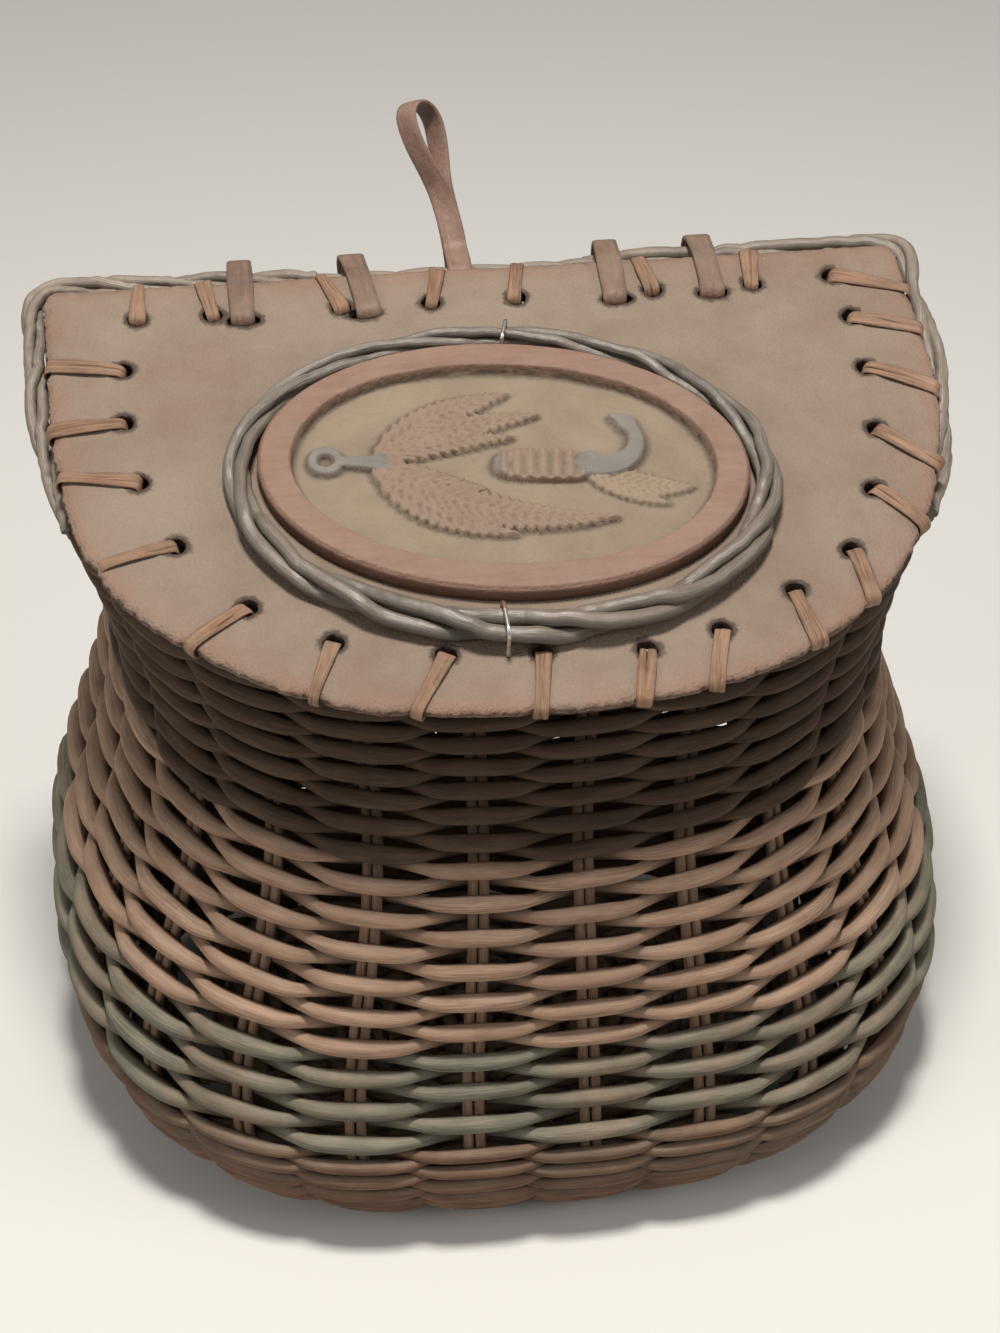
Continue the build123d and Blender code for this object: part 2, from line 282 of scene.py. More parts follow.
def store(tree, geometry_socket, name, value, kind="FLOAT", domain="POINT"):
    """Keep a value on the geometry under a name that materials can read."""
    made = add_node(
        tree,
        "GeometryNodeStoreNamedAttribute",
        {"Geometry": geometry_socket, "Name": name},
        data_type=kind,
        domain=domain,
    )
    tree.links.new(value, made.inputs["Value"])
    return made.outputs[0]


def capture(tree, geometry_socket, value, kind="FLOAT"):
    """Hold a field's value on the geometry as it is now: (geometry, value)."""
    made = tree.nodes.new("GeometryNodeCaptureAttribute")
    made.capture_items.new(kind, "held")
    tree.links.new(geometry_socket, made.inputs[0])
    tree.links.new(value, made.inputs[1])
    return made.outputs[0], made.outputs[1]


def grow(tree, base, name, values):
    """Run a tree on a base object and return the result as a plain mesh object."""
    modifier = base.modifiers.new("tree", "NODES")
    modifier.node_group = tree
    for item in tree.interface.items_tree:
        if item.item_type == "SOCKET" and item.in_out == "INPUT" and item.name in values:
            modifier[item.identifier] = values[item.name]
    shown = base.evaluated_get(bpy.context.evaluated_depsgraph_get())
    mesh = bpy.data.meshes.new_from_object(shown)
    base.modifiers.remove(modifier)
    mesh.name = name
    made = bpy.data.objects.new(name, mesh)
    bpy.context.scene.collection.objects.link(made)
    print(name, len(mesh.polygons), "faces")
    return made


def mesh_object(name, points, faces, material=None, smooth=True):
    """A mesh object from points and faces."""
    mesh = bpy.data.meshes.new(name)
    mesh.from_pydata([tuple(p) for p in points], [], [tuple(int(i) for i in f) for f in faces])
    mesh.update()
    if smooth:
        mesh.shade_smooth()
    if material:
        mesh.materials.append(material)
    made = bpy.data.objects.new(name, mesh)
    bpy.context.scene.collection.objects.link(made)
    return made


def paint_points(made, name, values):
    """Keep one number per vertex under a name that materials can read."""
    attribute = made.data.attributes.new(name, "FLOAT", "POINT")
    attribute.data.foreach_set("value", np.asarray(values, np.float32))


def guide(name, lines, closed=False):
    """A curve object of straight runs through points, for a tree to follow."""
    data = bpy.data.curves.new(name, "CURVE")
    data.dimensions = "3D"
    for line in lines:
        spline = data.splines.new("POLY")
        spline.points.add(len(line) - 1)
        for point, place in zip(spline.points, line):
            point.co = (*place, 1)
        spline.use_cyclic_u = closed
    made = bpy.data.objects.new(name, data)
    bpy.context.scene.collection.objects.link(made)
    return made


# %% [markdown]
# ## Finishes
# Old willow is dusty and streaked along its length. Painted shade darkens a rod where it goes
# behind a stake, and darkens the stakes where they rise under the lid. The streaks, the mottling and
# the dust are effects that most finishes here share, so each is one node group.

# %% Shared effects
def new_group(name, inputs, outputs):
    """A shader group with named inputs and outputs."""
    tree = bpy.data.node_groups.new(name, "ShaderNodeTree")
    for socket_name, kind, default in inputs:
        socket = tree.interface.new_socket(
            socket_name, in_out="INPUT", socket_type="NodeSocket" + kind
        )
        if default is not None:
            socket.default_value = default
    for socket_name, kind in outputs:
        tree.interface.new_socket(socket_name, in_out="OUTPUT", socket_type="NodeSocket" + kind)
    return tree, tree.nodes.new("NodeGroupInput").outputs, tree.nodes.new("NodeGroupOutput").inputs


def noise_at(tree, vector, scale, detail=4.0, roughness=0.55, distortion=0.0):
    """Noise from 0 to 1 at a vector."""
    made = add_node(
        tree,
        "ShaderNodeTexNoise",
        {
            "Vector": vector,
            "Scale": scale,
            "Detail": detail,
            "Roughness": roughness,
            "Distortion": distortion,
        },
    )
    return made.outputs["Fac"]


def ramp(tree, value, low, high):
    """Stretch the part of a value from low to high over 0 to 1, eased at its ends."""
    made = add_node(
        tree,
        "ShaderNodeMapRange",
        {"Value": value, "From Min": low, "From Max": high},
        interpolation_type="SMOOTHSTEP",
    )
    return made.outputs["Result"]


def blend_colours(tree, share, first, second, way="MIX"):
    """Mix two colours."""
    made = tree.nodes.new("ShaderNodeMix")
    made.data_type = "RGBA"
    made.blend_type = way
    for socket, value in (
        (made.inputs[0], share), (made.inputs[6], first), (made.inputs[7], second)
    ):
        if isinstance(value, Socket):
            tree.links.new(value, socket)
        elif socket.type == "RGBA":
            socket.default_value = (*value, 1) if len(value) == 3 else value
        else:
            socket.default_value = value
    return made.outputs[2]


# mottling: broad patches and fine specks, read at the object's own coordinates
mottle, ask, give = new_group(
    "mottling", (("Patch scale", "Float", 18.0), ("Speck scale", "Float", 260.0)),
    (("Patches", "Float"), ("Specks", "Float"))
)
here = add_node(mottle, "ShaderNodeTexCoord").outputs["Object"]
mottle.links.new(
    ramp(mottle, noise_at(mottle, here, ask["Patch scale"], 5.0, 0.6, 0.6), 0.3, 0.7),
    give["Patches"]
)
mottle.links.new(
    ramp(mottle, noise_at(mottle, here, ask["Speck scale"], 3.0, 0.7), 0.35, 0.75), give["Specks"]
)

# dust: lies on what faces up, broken by noise
dust, ask, give = new_group("dust", (("Amount", "Float", 0.5),), (("Mask", "Float"),))
facing = add_node(dust, "ShaderNodeNewGeometry").outputs["Normal"]
height = add_node(dust, "ShaderNodeSeparateXYZ", {0: facing}).outputs[2]
here = add_node(dust, "ShaderNodeTexCoord").outputs["Object"]
broken = ramp(dust, noise_at(dust, here, 55.0, 6.0, 0.65), 0.3, 0.72)
laid_dust = ramp(dust, height, 0.05, 0.95) * (broken * 0.7 + 0.3)
dust.links.new(calc("MULTIPLY", laid_dust, ask["Amount"], clamp=True), give["Mask"])

# streaks: long fibres that run along a rod or a strip, from its own along and around
streaks, ask, give = new_group(
    "fibre streaks", (("Along scale", "Float", 60.0), ("Around scale", "Float", 3.0)),
    (("Streaks", "Float"), ("Fibres", "Float"), ("Tone", "Float"))
)
along = add_node(streaks, "ShaderNodeAttribute", attribute_name="along").outputs["Fac"]
around = add_node(streaks, "ShaderNodeAttribute", attribute_name="around").outputs["Fac"]
rod = add_node(streaks, "ShaderNodeAttribute", attribute_name="rod").outputs["Fac"]
around_x = calc("COSINE", around * (2 * pi)) * ask["Around scale"]
around_y = calc("SINE", around * (2 * pi)) * ask["Around scale"]
long_way = along * ask["Along scale"] + rod * 37.0
lengthwise = combine(long_way, around_x, around_y)
fine = combine(long_way, around_x * 4.0, around_y * 4.0)
streaks.links.new(
    ramp(streaks, noise_at(streaks, lengthwise, 1.0, 4.0, 0.6), 0.3, 0.7), give["Streaks"]
)
streaks.links.new(noise_at(streaks, fine, 1.6, 3.0, 0.6), give["Fibres"])
slow = combine(along * 9.0 + rod * 11.0, rod, 0.0)
streaks.links.new(ramp(streaks, noise_at(streaks, slow, 1.0, 3.0, 0.6), 0.3, 0.7), give["Tone"])


def use_group(tree, group, **values):
    """Place a group and fill its inputs; its outputs come back by name."""
    made = tree.nodes.new("ShaderNodeGroup")
    made.node_tree = group
    for name, value in values.items():
        socket = made.inputs[name.replace("_", " ")]
        if isinstance(value, Socket):
            tree.links.new(value, socket)
        else:
            socket.default_value = value
    return made.outputs


def new_material(name, roughness=0.8):
    """A material with a Principled shader: (material, its tree, the shader)."""
    made = bpy.data.materials.new(name)
    made.use_nodes = True
    tree = made.node_tree
    shader = tree.nodes["Principled BSDF"]
    shader.inputs["Roughness"].default_value = roughness
    return made, tree, shader


def bump(tree, shader, height, strength, distance):
    """Relief from a height, into the shader's normal."""
    made = add_node(
        tree, "ShaderNodeBump", {"Height": height, "Strength": strength, "Distance": distance}
    )
    tree.links.new(made.outputs[0], shader.inputs["Normal"])


# %% [markdown]
# ## Rods of the basket
# One recipe serves every rod. Its colour changes from band to band: reddish at the foot, then
# grey-green, a pinkish tan and a dark brown under the lid. The foot's and the neck's colours are
# also darkened as painted shade: under the belly, and in the shadow of the lid.

# %% Rod finishes
def rod_finish(name, colour, dark, pale, other, dust_amount=0.3, roughness=0.7, shine=0.2):
    """Dusty painted willow: streaks, worn places, patches of the next band's paint and painted shade."""
    made, tree, shader = new_material(name, roughness)
    shader.inputs["Specular IOR Level"].default_value = shine
    fibre = use_group(tree, streaks, Along_scale=60.0, Around_scale=0.9)
    patches = use_group(tree, mottle, Patch_scale=16.0, Speck_scale=420.0)
    body = blend_colours(tree, ramp(tree, patches["Patches"], 0.45, 0.95), colour, other)
    body = blend_colours(tree, fibre["Streaks"] * 0.75, body, dark)
    worn = fibre["Tone"] * ramp(tree, fibre["Fibres"], 0.4, 0.7)
    body = blend_colours(tree, worn * 0.7, body, pale)
    lint = use_group(tree, dust, Amount=dust_amount)
    body = blend_colours(tree, lint["Mask"], body, (0.36, 0.30, 0.24))
    # painted shade: the colour goes towards near black where the rod's shade value is high
    painted_shade = add_node(tree, "ShaderNodeAttribute", attribute_name="painted_shade").outputs["Fac"]
    shade = ramp(tree, painted_shade, 0.1, 1.0) * 0.7
    body = blend_colours(tree, shade, body, (0.05, 0.034, 0.025))
    tree.links.new(body, shader.inputs["Base Color"])
    relief = fibre["Fibres"] + patches["Specks"] * 0.3
    bump(tree, shader, relief, 0.5, 0.0004)
    return made


# each rod's colours: its paint, its dark streaks, its worn places, and the next band's paint
# the foot: reddish paint, darkened as painted shade where it curves in under the belly
shaded_foot_rods = rod_finish(
    "reddish rods", (0.135, 0.07, 0.042), (0.055, 0.027, 0.016),
    (0.22, 0.135, 0.086), (0.11, 0.078, 0.05)
)
green_rods = rod_finish(
    "green rods", (0.12, 0.118, 0.085), (0.05, 0.048, 0.035),
    (0.25, 0.225, 0.165), (0.175, 0.125, 0.083)
)
brown_rods = rod_finish(
    "brown rods", (0.30, 0.185, 0.122), (0.15, 0.082, 0.052),
    (0.45, 0.32, 0.225), (0.24, 0.15, 0.10)
)
# the neck: dark brown paint, darkened further as painted shade of the overhanging lid, with little dust
dark_rods = rod_finish(
    "dark shaded rods", (0.05, 0.028, 0.016), (0.02, 0.012, 0.007),
    (0.09, 0.056, 0.034), (0.075, 0.044, 0.026), 0.05
)
grey_rods = rod_finish(
    "grey rods", (0.15, 0.12, 0.095), (0.06, 0.048, 0.038),
    (0.34, 0.305, 0.26), (0.18, 0.13, 0.095), 0.3, 0.45, 0.4
)
ring_rods = rod_finish(
    "ring rods", (0.11, 0.093, 0.077), (0.04, 0.033, 0.027),
    (0.25, 0.228, 0.2), (0.13, 0.10, 0.075), 0.2, 0.36, 0.5
)
stake_rods = rod_finish(
    "stake rods", (0.24, 0.15, 0.098), (0.11, 0.065, 0.042),
    (0.36, 0.25, 0.175), (0.18, 0.115, 0.075), 0.15
)

# %% [markdown]
# ## The woven wall
# Plain weaving, called randing: each round rod goes in front of one pair of stakes and behind
# the next, and its neighbours do the opposite. That is a rule, so Geometry Nodes lays the rods:
# a rod's points are read off the basket's form by its UV map, and a wave pushes them out and in.

# %% The basket's form as a surface with a UV map
def form_object(name, inset, top_inset, around=361, up_rows=81):
    """The surface that the rods follow."""
    heights = np.linspace(0, sections[-1][0], up_rows)
    points = basket_surface(inset, top_inset, around, heights).reshape(-1, 3)
    return surface_object(name, points, around, up_rows)


def surface_object(name, points, across, rows):
    """A grid of points as a surface, with a UV map of 0 to 1 each way."""
    faces = []
    for row in range(rows - 1):
        for column in range(across - 1):
            first = row * across + column
            faces.append((first, first + across, first + across + 1, first + 1))
    made = mesh_object(name, points, faces)
    uv = made.data.uv_layers.new(name="form")
    loop_vertex = np.zeros(len(made.data.loops), int)
    made.data.loops.foreach_get("vertex_index", loop_vertex)
    u = (loop_vertex % across) / (across - 1)
    v = (loop_vertex // across) / (rows - 1)
    uv.data.foreach_set("uv", np.stack([u, v], -1).ravel())
    return made


basket_form = form_object("basket form", stakes_inset, rim_inset)


# %% The tree that lays rows of weaving
weave_tree, ask = new_tree(
    "rows of weaving",
    (
        ("Stakes", "Int", 22),
        ("Phase", "Float", -0.4),
        ("First row", "Int", 0),
        ("Rows", "Int", 10),
        ("Rows in all", "Int", 37),
        ("Steps per stake", "Int", 12),
        ("Rod radius", "Float", 0.0024),
        ("Swing", "Float", 0.0031),
        ("Foot pitch", "Float", 1.12),
        ("Foot row height", "Float", 0.0141),
        ("Wander", "Float", 0.0008),
        ("Thicker back", "Float", 0.27),
        ("Back drop", "Float", 0.052),
        ("Closed", "Bool", True),
        ("Seed", "Int", 3),
        ("Material", "Material", None),
    ),
)
points_per_row = ask["Stakes"] * ask["Steps per stake"] + (1.0 - ask["Closed"])
line = add_node(weave_tree, "GeometryNodeCurvePrimitiveLine").outputs[0]
line = add_node(
    weave_tree, "GeometryNodeResampleCurve", {"Curve": line, "Count": points_per_row}
).outputs[0]
step = add_node(weave_tree, "GeometryNodeInputIndex").outputs[0]
line, step = capture(weave_tree, line, step)
copies = add_node(
    weave_tree, "GeometryNodeDuplicateElements",
    {"Geometry": line, "Amount": ask["Rows"]}, domain="SPLINE"
)
row = copies.outputs["Duplicate Index"] + ask["First row"]
u = step / (ask["Stakes"] * ask["Steps per stake"])
share = (row + 0.5) / ask["Rows in all"]
linear = share * ask["Foot pitch"]
easing = share * share * (1.0 - ask["Foot pitch"])
v = linear + easing
# under the belly the foot's rows are thin and packed close
foot_place = (row + 8.0) * ask["Foot row height"]
v = calc("MAXIMUM", v, foot_place)
# at the back the top rows lie lower, to leave the straps room under the rim
turn_round = u * (2 * pi)
at_back = (calc("COSINE", turn_round) + 1.0) * 0.5
drop = at_back ** 1.5 * v ** 4.0
v = v - drop * ask["Back drop"]
# the rods wander up and down a little, the same where a closed row meets itself
seeded_row = row * 1.7 + ask["Seed"] * 13.1
drift_place = combine(calc("COSINE", turn_round) * 4.0, calc("SINE", turn_round) * 4.0, seeded_row)
drift = add_node(
    weave_tree, "ShaderNodeTexNoise", {"Vector": drift_place, "Scale": 1.0, "Detail": 1.0}
)
drift_parts = add_node(weave_tree, "ShaderNodeSeparateXYZ", {0: drift.outputs["Color"]}).outputs
v = v + (drift_parts[0] - 0.5) * (ask["Wander"] / 0.12)
from_stake = u * ask["Stakes"] - ask["Phase"]
wave = calc("COSINE", (from_stake + row) * pi)
# rods lie straight across the stakes and turn in sharply between them
flatness = 2.5
flattened = (1 + flatness) / (calc("ABSOLUTE", wave) + flatness)
wave = wave * flattened
uneven = 0.82 + drift_parts[1] * 0.36
# between two stakes a rod still lies outside, and only then dives behind the next pair
squared = wave * wave
outside = (1.0 - squared) * 0.5
deeper_inside = 1.15 - wave * 0.15
uneven = uneven * deeper_inside
swung = wave * uneven + outside
push = swung * ask["Swing"]
form_uv = add_node(
    weave_tree, "GeometryNodeInputNamedAttribute", {"Name": "form"}, data_type="FLOAT_VECTOR"
).outputs[0]
spot = combine(u, v, 0.0)


def read_form(tree, surface, value, uv, at):
    """Read a vector off a surface at a place of its UV map."""
    made = tree.nodes.new("GeometryNodeSampleUVSurface")
    made.data_type = "FLOAT_VECTOR"
    tree.links.new(surface, made.inputs["Mesh"])
    tree.links.new(value, made.inputs["Value"])
    tree.links.new(uv, made.inputs["UV Map"])
    tree.links.new(at, made.inputs["Sample UV"])
    return made.outputs[0]


def lay_rods(tree, surface, rods, form_uv, spot, push, radius, around_steps, stored, closed):
    """Put the rods' points on the form, pushed along its normal, and give them a round section."""
    place = read_form(
        tree, surface, add_node(tree, "GeometryNodeInputPosition").outputs[0], form_uv, spot
    )
    outwards = read_form(
        tree, surface, add_node(tree, "GeometryNodeInputNormal").outputs[0], form_uv, spot
    )
    place = vector_calc("ADD", place, vector_calc("SCALE", outwards, push))
    for name, value in stored.items():
        rods = store(tree, rods, name, value)
    rods = add_node(
        tree, "GeometryNodeSetPosition", {"Geometry": rods, "Position": place}
    ).outputs[0]
    rods = add_node(
        tree, "GeometryNodeSetSplineCyclic", {"Geometry": rods, "Cyclic": closed}
    ).outputs[0]
    return rod_mesh(tree, rods, radius, around_steps)


def rod_mesh(tree, rods, radius, around_steps):
    """Round rods along curves."""
    circle = add_node(
        tree, "GeometryNodeCurvePrimitiveCircle", {"Resolution": around_steps, "Radius": 1.0}
    ).outputs[0]
    turned = add_node(tree, "GeometryNodeSplineParameter").outputs["Factor"]
    circle = store(tree, circle, "around", turned)
    mesh = add_node(
        tree, "GeometryNodeCurveToMesh", {
            "Curve": rods, "Profile Curve": circle, "Fill Caps": True, "Scale": radius
        }
    ).outputs[0]
    return add_node(tree, "GeometryNodeSetShadeSmooth", {"Geometry": mesh}).outputs[0]


uneven_radius = ask["Rod radius"] * (0.88 + drift_parts[2] * 0.26)
thicker_foot = 1.1 - share * 0.2
thicker_back = 1.0 + at_back * 2.0 * ask["Thicker back"]
thickness = thicker_foot * thicker_back
# a rod is pressed thinner where it crosses its neighbours between two stakes
pressed = 0.7 + calc("ABSOLUTE", wave) * 0.34
pressed = pressed + at_back * 0.12
thickness = thickness * pressed
laid = lay_rods(
    weave_tree,
    ask["Geometry"],
    copies.outputs["Geometry"],
    form_uv,
    spot,
    push,
    uneven_radius * thickness,
    10,
    # painted shade on the parts of each rod that go behind a stake
    {"along": u * 0.75, "rod": row, "painted_shade": wave * -1.0},
    ask["Closed"],
)
end_tree(weave_tree, laid, ask["Material"])

# %% The tree that sets the double stakes
stake_tree, ask = new_tree(
    "double stakes",
    (
        ("Stakes", "Int", 22),
        ("Phase", "Float", -0.4),
        ("Rod radius", "Float", 0.00155),
        ("Pair gap", "Float", 0.1),
        ("Set back", "Float", 0.0006),
        ("Foot", "Float", 0.01),
        ("Top", "Float", 0.985),
        ("Material", "Material", None),
    ),
)
stake_steps = 64
line = add_node(stake_tree, "GeometryNodeCurvePrimitiveLine").outputs[0]
line = add_node(
    stake_tree, "GeometryNodeResampleCurve", {"Curve": line, "Count": stake_steps}
).outputs[0]
rise = add_node(stake_tree, "GeometryNodeSplineParameter").outputs["Factor"]
line, rise = capture(stake_tree, line, rise)
copies = add_node(
    stake_tree,
    "GeometryNodeDuplicateElements",
    {"Geometry": line, "Amount": ask["Stakes"] * 2.0},
    domain="SPLINE",
)
number = copies.outputs["Duplicate Index"]
pair = calc("FLOOR", number / 2.0)
side = number % 2.0 - 0.5
u = (pair + side * ask["Pair gap"]) / ask["Stakes"]
u = u + ask["Phase"] / ask["Stakes"]
u = calc("FRACT", u + 1.0)
v = ask["Foot"] + rise * (ask["Top"] - ask["Foot"])
form_uv = add_node(
    stake_tree, "GeometryNodeInputNamedAttribute", {"Name": "form"}, data_type="FLOAT_VECTOR"
).outputs[0]
laid = lay_rods(
    stake_tree,
    ask["Geometry"],
    copies.outputs["Geometry"],
    form_uv,
    combine(u, v, 0.0),
    ask["Set back"] * -1.0,
    ask["Rod radius"],
    8,
    # painted shadow of the lid on the stakes: darker from about two thirds of their height up
    {"along": rise * 0.25, "rod": number, "painted_shade": v * 12.0 - 7.7},
    False,
)
end_tree(stake_tree, laid, ask["Material"])

# %% Weave the four bands and set the stakes
# each band: name, node, first row, rows, rows that its pitch would give in all, rod radius,
# finish and slot
bands = (
    ("woven_foot", "foot_courses", -6, 13, 37, 0.00205, shaded_foot_rods, "reddish_rods"),
    ("woven_green_band", "green_courses", 7, 6, 37, 0.0025, green_rods, "green_rods"),
    ("woven_brown_band", "brown_courses", 13, 12, 37, 0.0025, brown_rods, "brown_rods"),
    ("woven_neck", "neck_courses", 29, 14, 43, 0.0026, dark_rods, "dark_rods"),
)
for name, node, first, count, rows_in_all, rod_radius, finish, slot in bands:
    band = grow(
        weave_tree,
        basket_form,
        name,
        {
            "First row": first,
            "Rows": count,
            "Rows in all": rows_in_all,
            "Rod radius": rod_radius,
            "Material": finish,
        },
    )
    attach(band, "basket")
    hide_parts(node)
stakes = grow(stake_tree, basket_form, "double_stakes", {"Material": stake_rods})
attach(stakes, "basket")
bpy.data.objects.remove(basket_form)

# %% [markdown]
# ## Woven base
# The same weaving fills the foot: rods go round and round over sticks that fan out from the
# middle. Near the middle the sticks come too close, so half of them stop and the rods go on.

# %% Base
def base_form(name, outer_share, inner_share):
    """A flat D surface between two shares of the foot's outline, for the base's rods."""
    foot_height, half_width, depth, set_back, side_run, shoulder = sections[0]
    inset = 9.0
    flat = outline(
        half_width - inset,
        rim_wall / 2 - set_back - inset,
        depth - 2 * inset,
        side_run,
        shoulder - inset,
        back_corner - inset,
        241,
    )
    middle = (flat.max(0) + flat.min(0)) / 2
    shares = np.linspace(outer_share, inner_share, 21)
    rows = [on_level(middle + (flat - middle) * each, foot_height) for each in shares]
    points = np.array(rows) + [0, 0, 5.4 * MM]
    return surface_object(name, points.reshape(-1, 3), 241, len(shares))


base_parts = []
for label, outer_share, inner_share, sticks, rows in (
    ("outer", 1.0, 0.42, 24, 9), ("inner", 0.42, 0.03, 12, 6)
):
    base_surface = base_form("base form", outer_share, inner_share)
    base_parts.append(
        grow(
            weave_tree,
            base_surface,
            "base " + label,
            {
                "Stakes": sticks,
                "Rows": rows,
                "Rows in all": rows,
                "Foot pitch": 1.0,
                "Foot row height": 0.0,
                "Back drop": 0.0,
                "Thicker back": 0.0,
                "Rod radius": 0.0021,
                "Swing": 0.0017,
                "Material": stake_rods,
            },
        )
    )
    base_parts.append(
        grow(
            stake_tree,
            base_surface,
            "sticks " + label,
            {"Stakes": sticks, "Pair gap": 0.1, "Rod radius": 0.0013, "Material": stake_rods},
        )
    )
    bpy.data.objects.remove(base_surface)


def join(name, parts):
    """Join mesh objects into the first and name it."""
    with bpy.context.temp_override(active_object=parts[0], selected_editable_objects=parts):
        bpy.ops.object.join()
    parts[0].name = name
    return parts[0]


woven_base = join("woven_base_rods", base_parts)
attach(woven_base, "basket")
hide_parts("woven_base")

# %% [markdown]
# ## Twisted rods
# The rim and the wicker ring are each a few thin rods laid together and twisted. The tree takes
# a path and winds its rods round it: each rod's angle grows along the path, so they twine.

# %% The tree that twists rods round a path
twist_tree, ask = new_tree(
    "twisted rods",
    (
        ("Strands", "Int", 3),
        ("Turns", "Float", 12.0),
        ("Winding radius", "Float", 0.0019),
        ("Rod radius", "Float", 0.0018),
        ("Points", "Int", 600),
        ("Looseness", "Float", 0.3),
        ("Thinner back", "Float", 0.0),
        ("Seed", "Float", 1.0),
        ("Closed", "Bool", True),
        ("Material", "Material", None),
    ),
)
path = add_node(
    twist_tree, "GeometryNodeSetCurveNormal", {"Curve": ask["Geometry"]}, mode="Z_UP"
).outputs[0]
path = add_node(
    twist_tree, "GeometryNodeResampleCurve", {"Curve": path, "Count": ask["Points"]}
).outputs[0]
# every factor ends on a whole turn, so that a closed path's rods meet themselves
factor = add_node(twist_tree, "GeometryNodeSplineParameter").outputs["Factor"]
path, factor = capture(twist_tree, path, factor)
normal = add_node(twist_tree, "GeometryNodeInputNormal").outputs[0]
path, normal = capture(twist_tree, path, normal, "VECTOR")
tangent = add_node(twist_tree, "GeometryNodeInputTangent").outputs[0]
path, tangent = capture(twist_tree, path, tangent, "VECTOR")
reach = add_node(twist_tree, "GeometryNodeSplineParameter").outputs["Length"]
path, reach = capture(twist_tree, path, reach)
copies = add_node(
    twist_tree, "GeometryNodeDuplicateElements",
    {"Geometry": path, "Amount": ask["Strands"]}, domain="SPLINE"
)
strand = copies.outputs["Duplicate Index"]
turned = factor * ask["Turns"] + strand / ask["Strands"]
round_path = factor * (2 * pi)
wander_at = combine(
    calc("COSINE", round_path) * 3.0, calc("SINE", round_path) * 3.0, strand * 5.3 + ask["Seed"]
)
wander = add_node(
    twist_tree, "ShaderNodeTexNoise", {"Vector": wander_at, "Scale": 1.3, "Detail": 2.0}
)
wander_parts = add_node(twist_tree, "ShaderNodeSeparateXYZ", {0: wander.outputs["Color"]}).outputs
slack = (wander_parts[0] - 0.5) * ask["Looseness"]
angle = (turned + slack) * (2 * pi)
winding = ask["Winding radius"] * (0.85 + wander_parts[1] * 0.3)
back_share = 0.5 + calc("SINE", round_path) * 0.5
slimmer = 1.0 - back_share * ask["Thinner back"]
winding = winding * slimmer
sideways = vector_calc("CROSS_PRODUCT", tangent, normal)
one_way = vector_calc("SCALE", normal, calc("COSINE", angle) * winding)
other_way = vector_calc("SCALE", sideways, calc("SINE", angle) * winding)
rods = copies.outputs["Geometry"]
for stored_name, stored_value in (("along", reach), ("rod", strand), ("painted_shade", strand * 0.0)):
    rods = store(twist_tree, rods, stored_name, stored_value)
rods = add_node(
    twist_tree, "GeometryNodeSetPosition", {
        "Geometry": rods, "Offset": vector_calc("ADD", one_way, other_way)
    }
).outputs[0]
rods = add_node(
    twist_tree, "GeometryNodeSetSplineCyclic", {"Geometry": rods, "Cyclic": ask["Closed"]}
).outputs[0]
thickness = ask["Rod radius"] * (0.85 + wander_parts[2] * 0.3)
thickness = thickness * slimmer
end_tree(twist_tree, rod_mesh(twist_tree, rods, thickness, 10), ask["Material"])

# %% Rim of twisted rods, with loose ends wrapped round its two back corners
def on_lid(flat, lift):
    """Points (x, y from the hinge line) and a lift, in mm, on the lid's plane."""
    return on_level(np.asarray(flat, float), hinge_height / MM, np.asarray(lift, float))


def smooth_line(knots, count):
    """A smooth line through a few points."""
    knots = np.asarray(knots, float)
    reach = np.concatenate([[0], np.cumsum(np.linalg.norm(np.diff(knots, axis=0), axis=1))])
    return smooth_rows(reach, knots, np.linspace(0, reach[-1], count))


_, rim_half_width, rim_depth, _, rim_run, rim_shoulder = sections[-1]
rim_flat = outline(
    rim_half_width - rim_inset, 0, rim_depth - 2 * rim_inset,
    rim_run, rim_shoulder - rim_inset, back_corner - rim_inset, 601
)[:-1]
rim_path = guide("rim path", [on_lid(rim_flat, 0)], closed=True)
rim_parts = [
    grow(
        twist_tree,
        rim_path,
        "rim rods",
        {
            "Strands": 3, "Turns": 14.0, "Winding radius": 0.0017,
            "Rod radius": 0.00168, "Material": grey_rods
        },
    )
]
# each wrap's points: x, y from the hinge line, lift
right_wrap = (
    (34, 1.2, 0.5), (60, 1.6, 1.4), (86, 1.4, 1.8),
    (106, 1.6, 1.8), (122, 1.9, 2.8), (130.8, -3, 4.2),
    (132.4, -16, 3.2), (132.6, -38, 2.0), (131.6, -60, 0.2), (126.5, -84, -3.0), (119, -104, -4.5),
)
left_wrap = (
    (-48, 1.2, 0.5), (-78, 1.6, 1.6), (-102, 1.6, 1.8),
    (-121, 2.0, 2.6), (-130.6, -3, 3.4), (-132.3, -18, 2.6),
    (-132.4, -42, 0.6), (-129.0, -66, -2.6), (-123.5, -88, -4.5),
)
# each wrap: its points, strands, turns, winding radius and rod radius
wraps = ((right_wrap, 2, 2.2, 0.0016, 0.0020), (left_wrap, 3, 2.6, 0.0018, 0.0017))
for number, (wrap, strands, turns, winding_radius, rod_radius) in enumerate(wraps):
    line = smooth_line(wrap, 90)
    wrap_path = guide("wrap path", [on_lid(line[:, :2], line[:, 2])])
    rim_parts.append(
        grow(
            twist_tree,
            wrap_path,
            "wrap",
            {
                "Strands": strands,
                "Turns": turns,
                "Winding radius": winding_radius,
                "Rod radius": rod_radius,
                "Points": 260,
                "Closed": False,
                "Seed": 4.0 + number,
                "Material": grey_rods,
            },
        )
    )
    bpy.data.objects.remove(wrap_path)
bpy.data.objects.remove(rim_path)
rim = join("twisted_rim", rim_parts)
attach(rim, "basket")
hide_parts("rim_hoop")
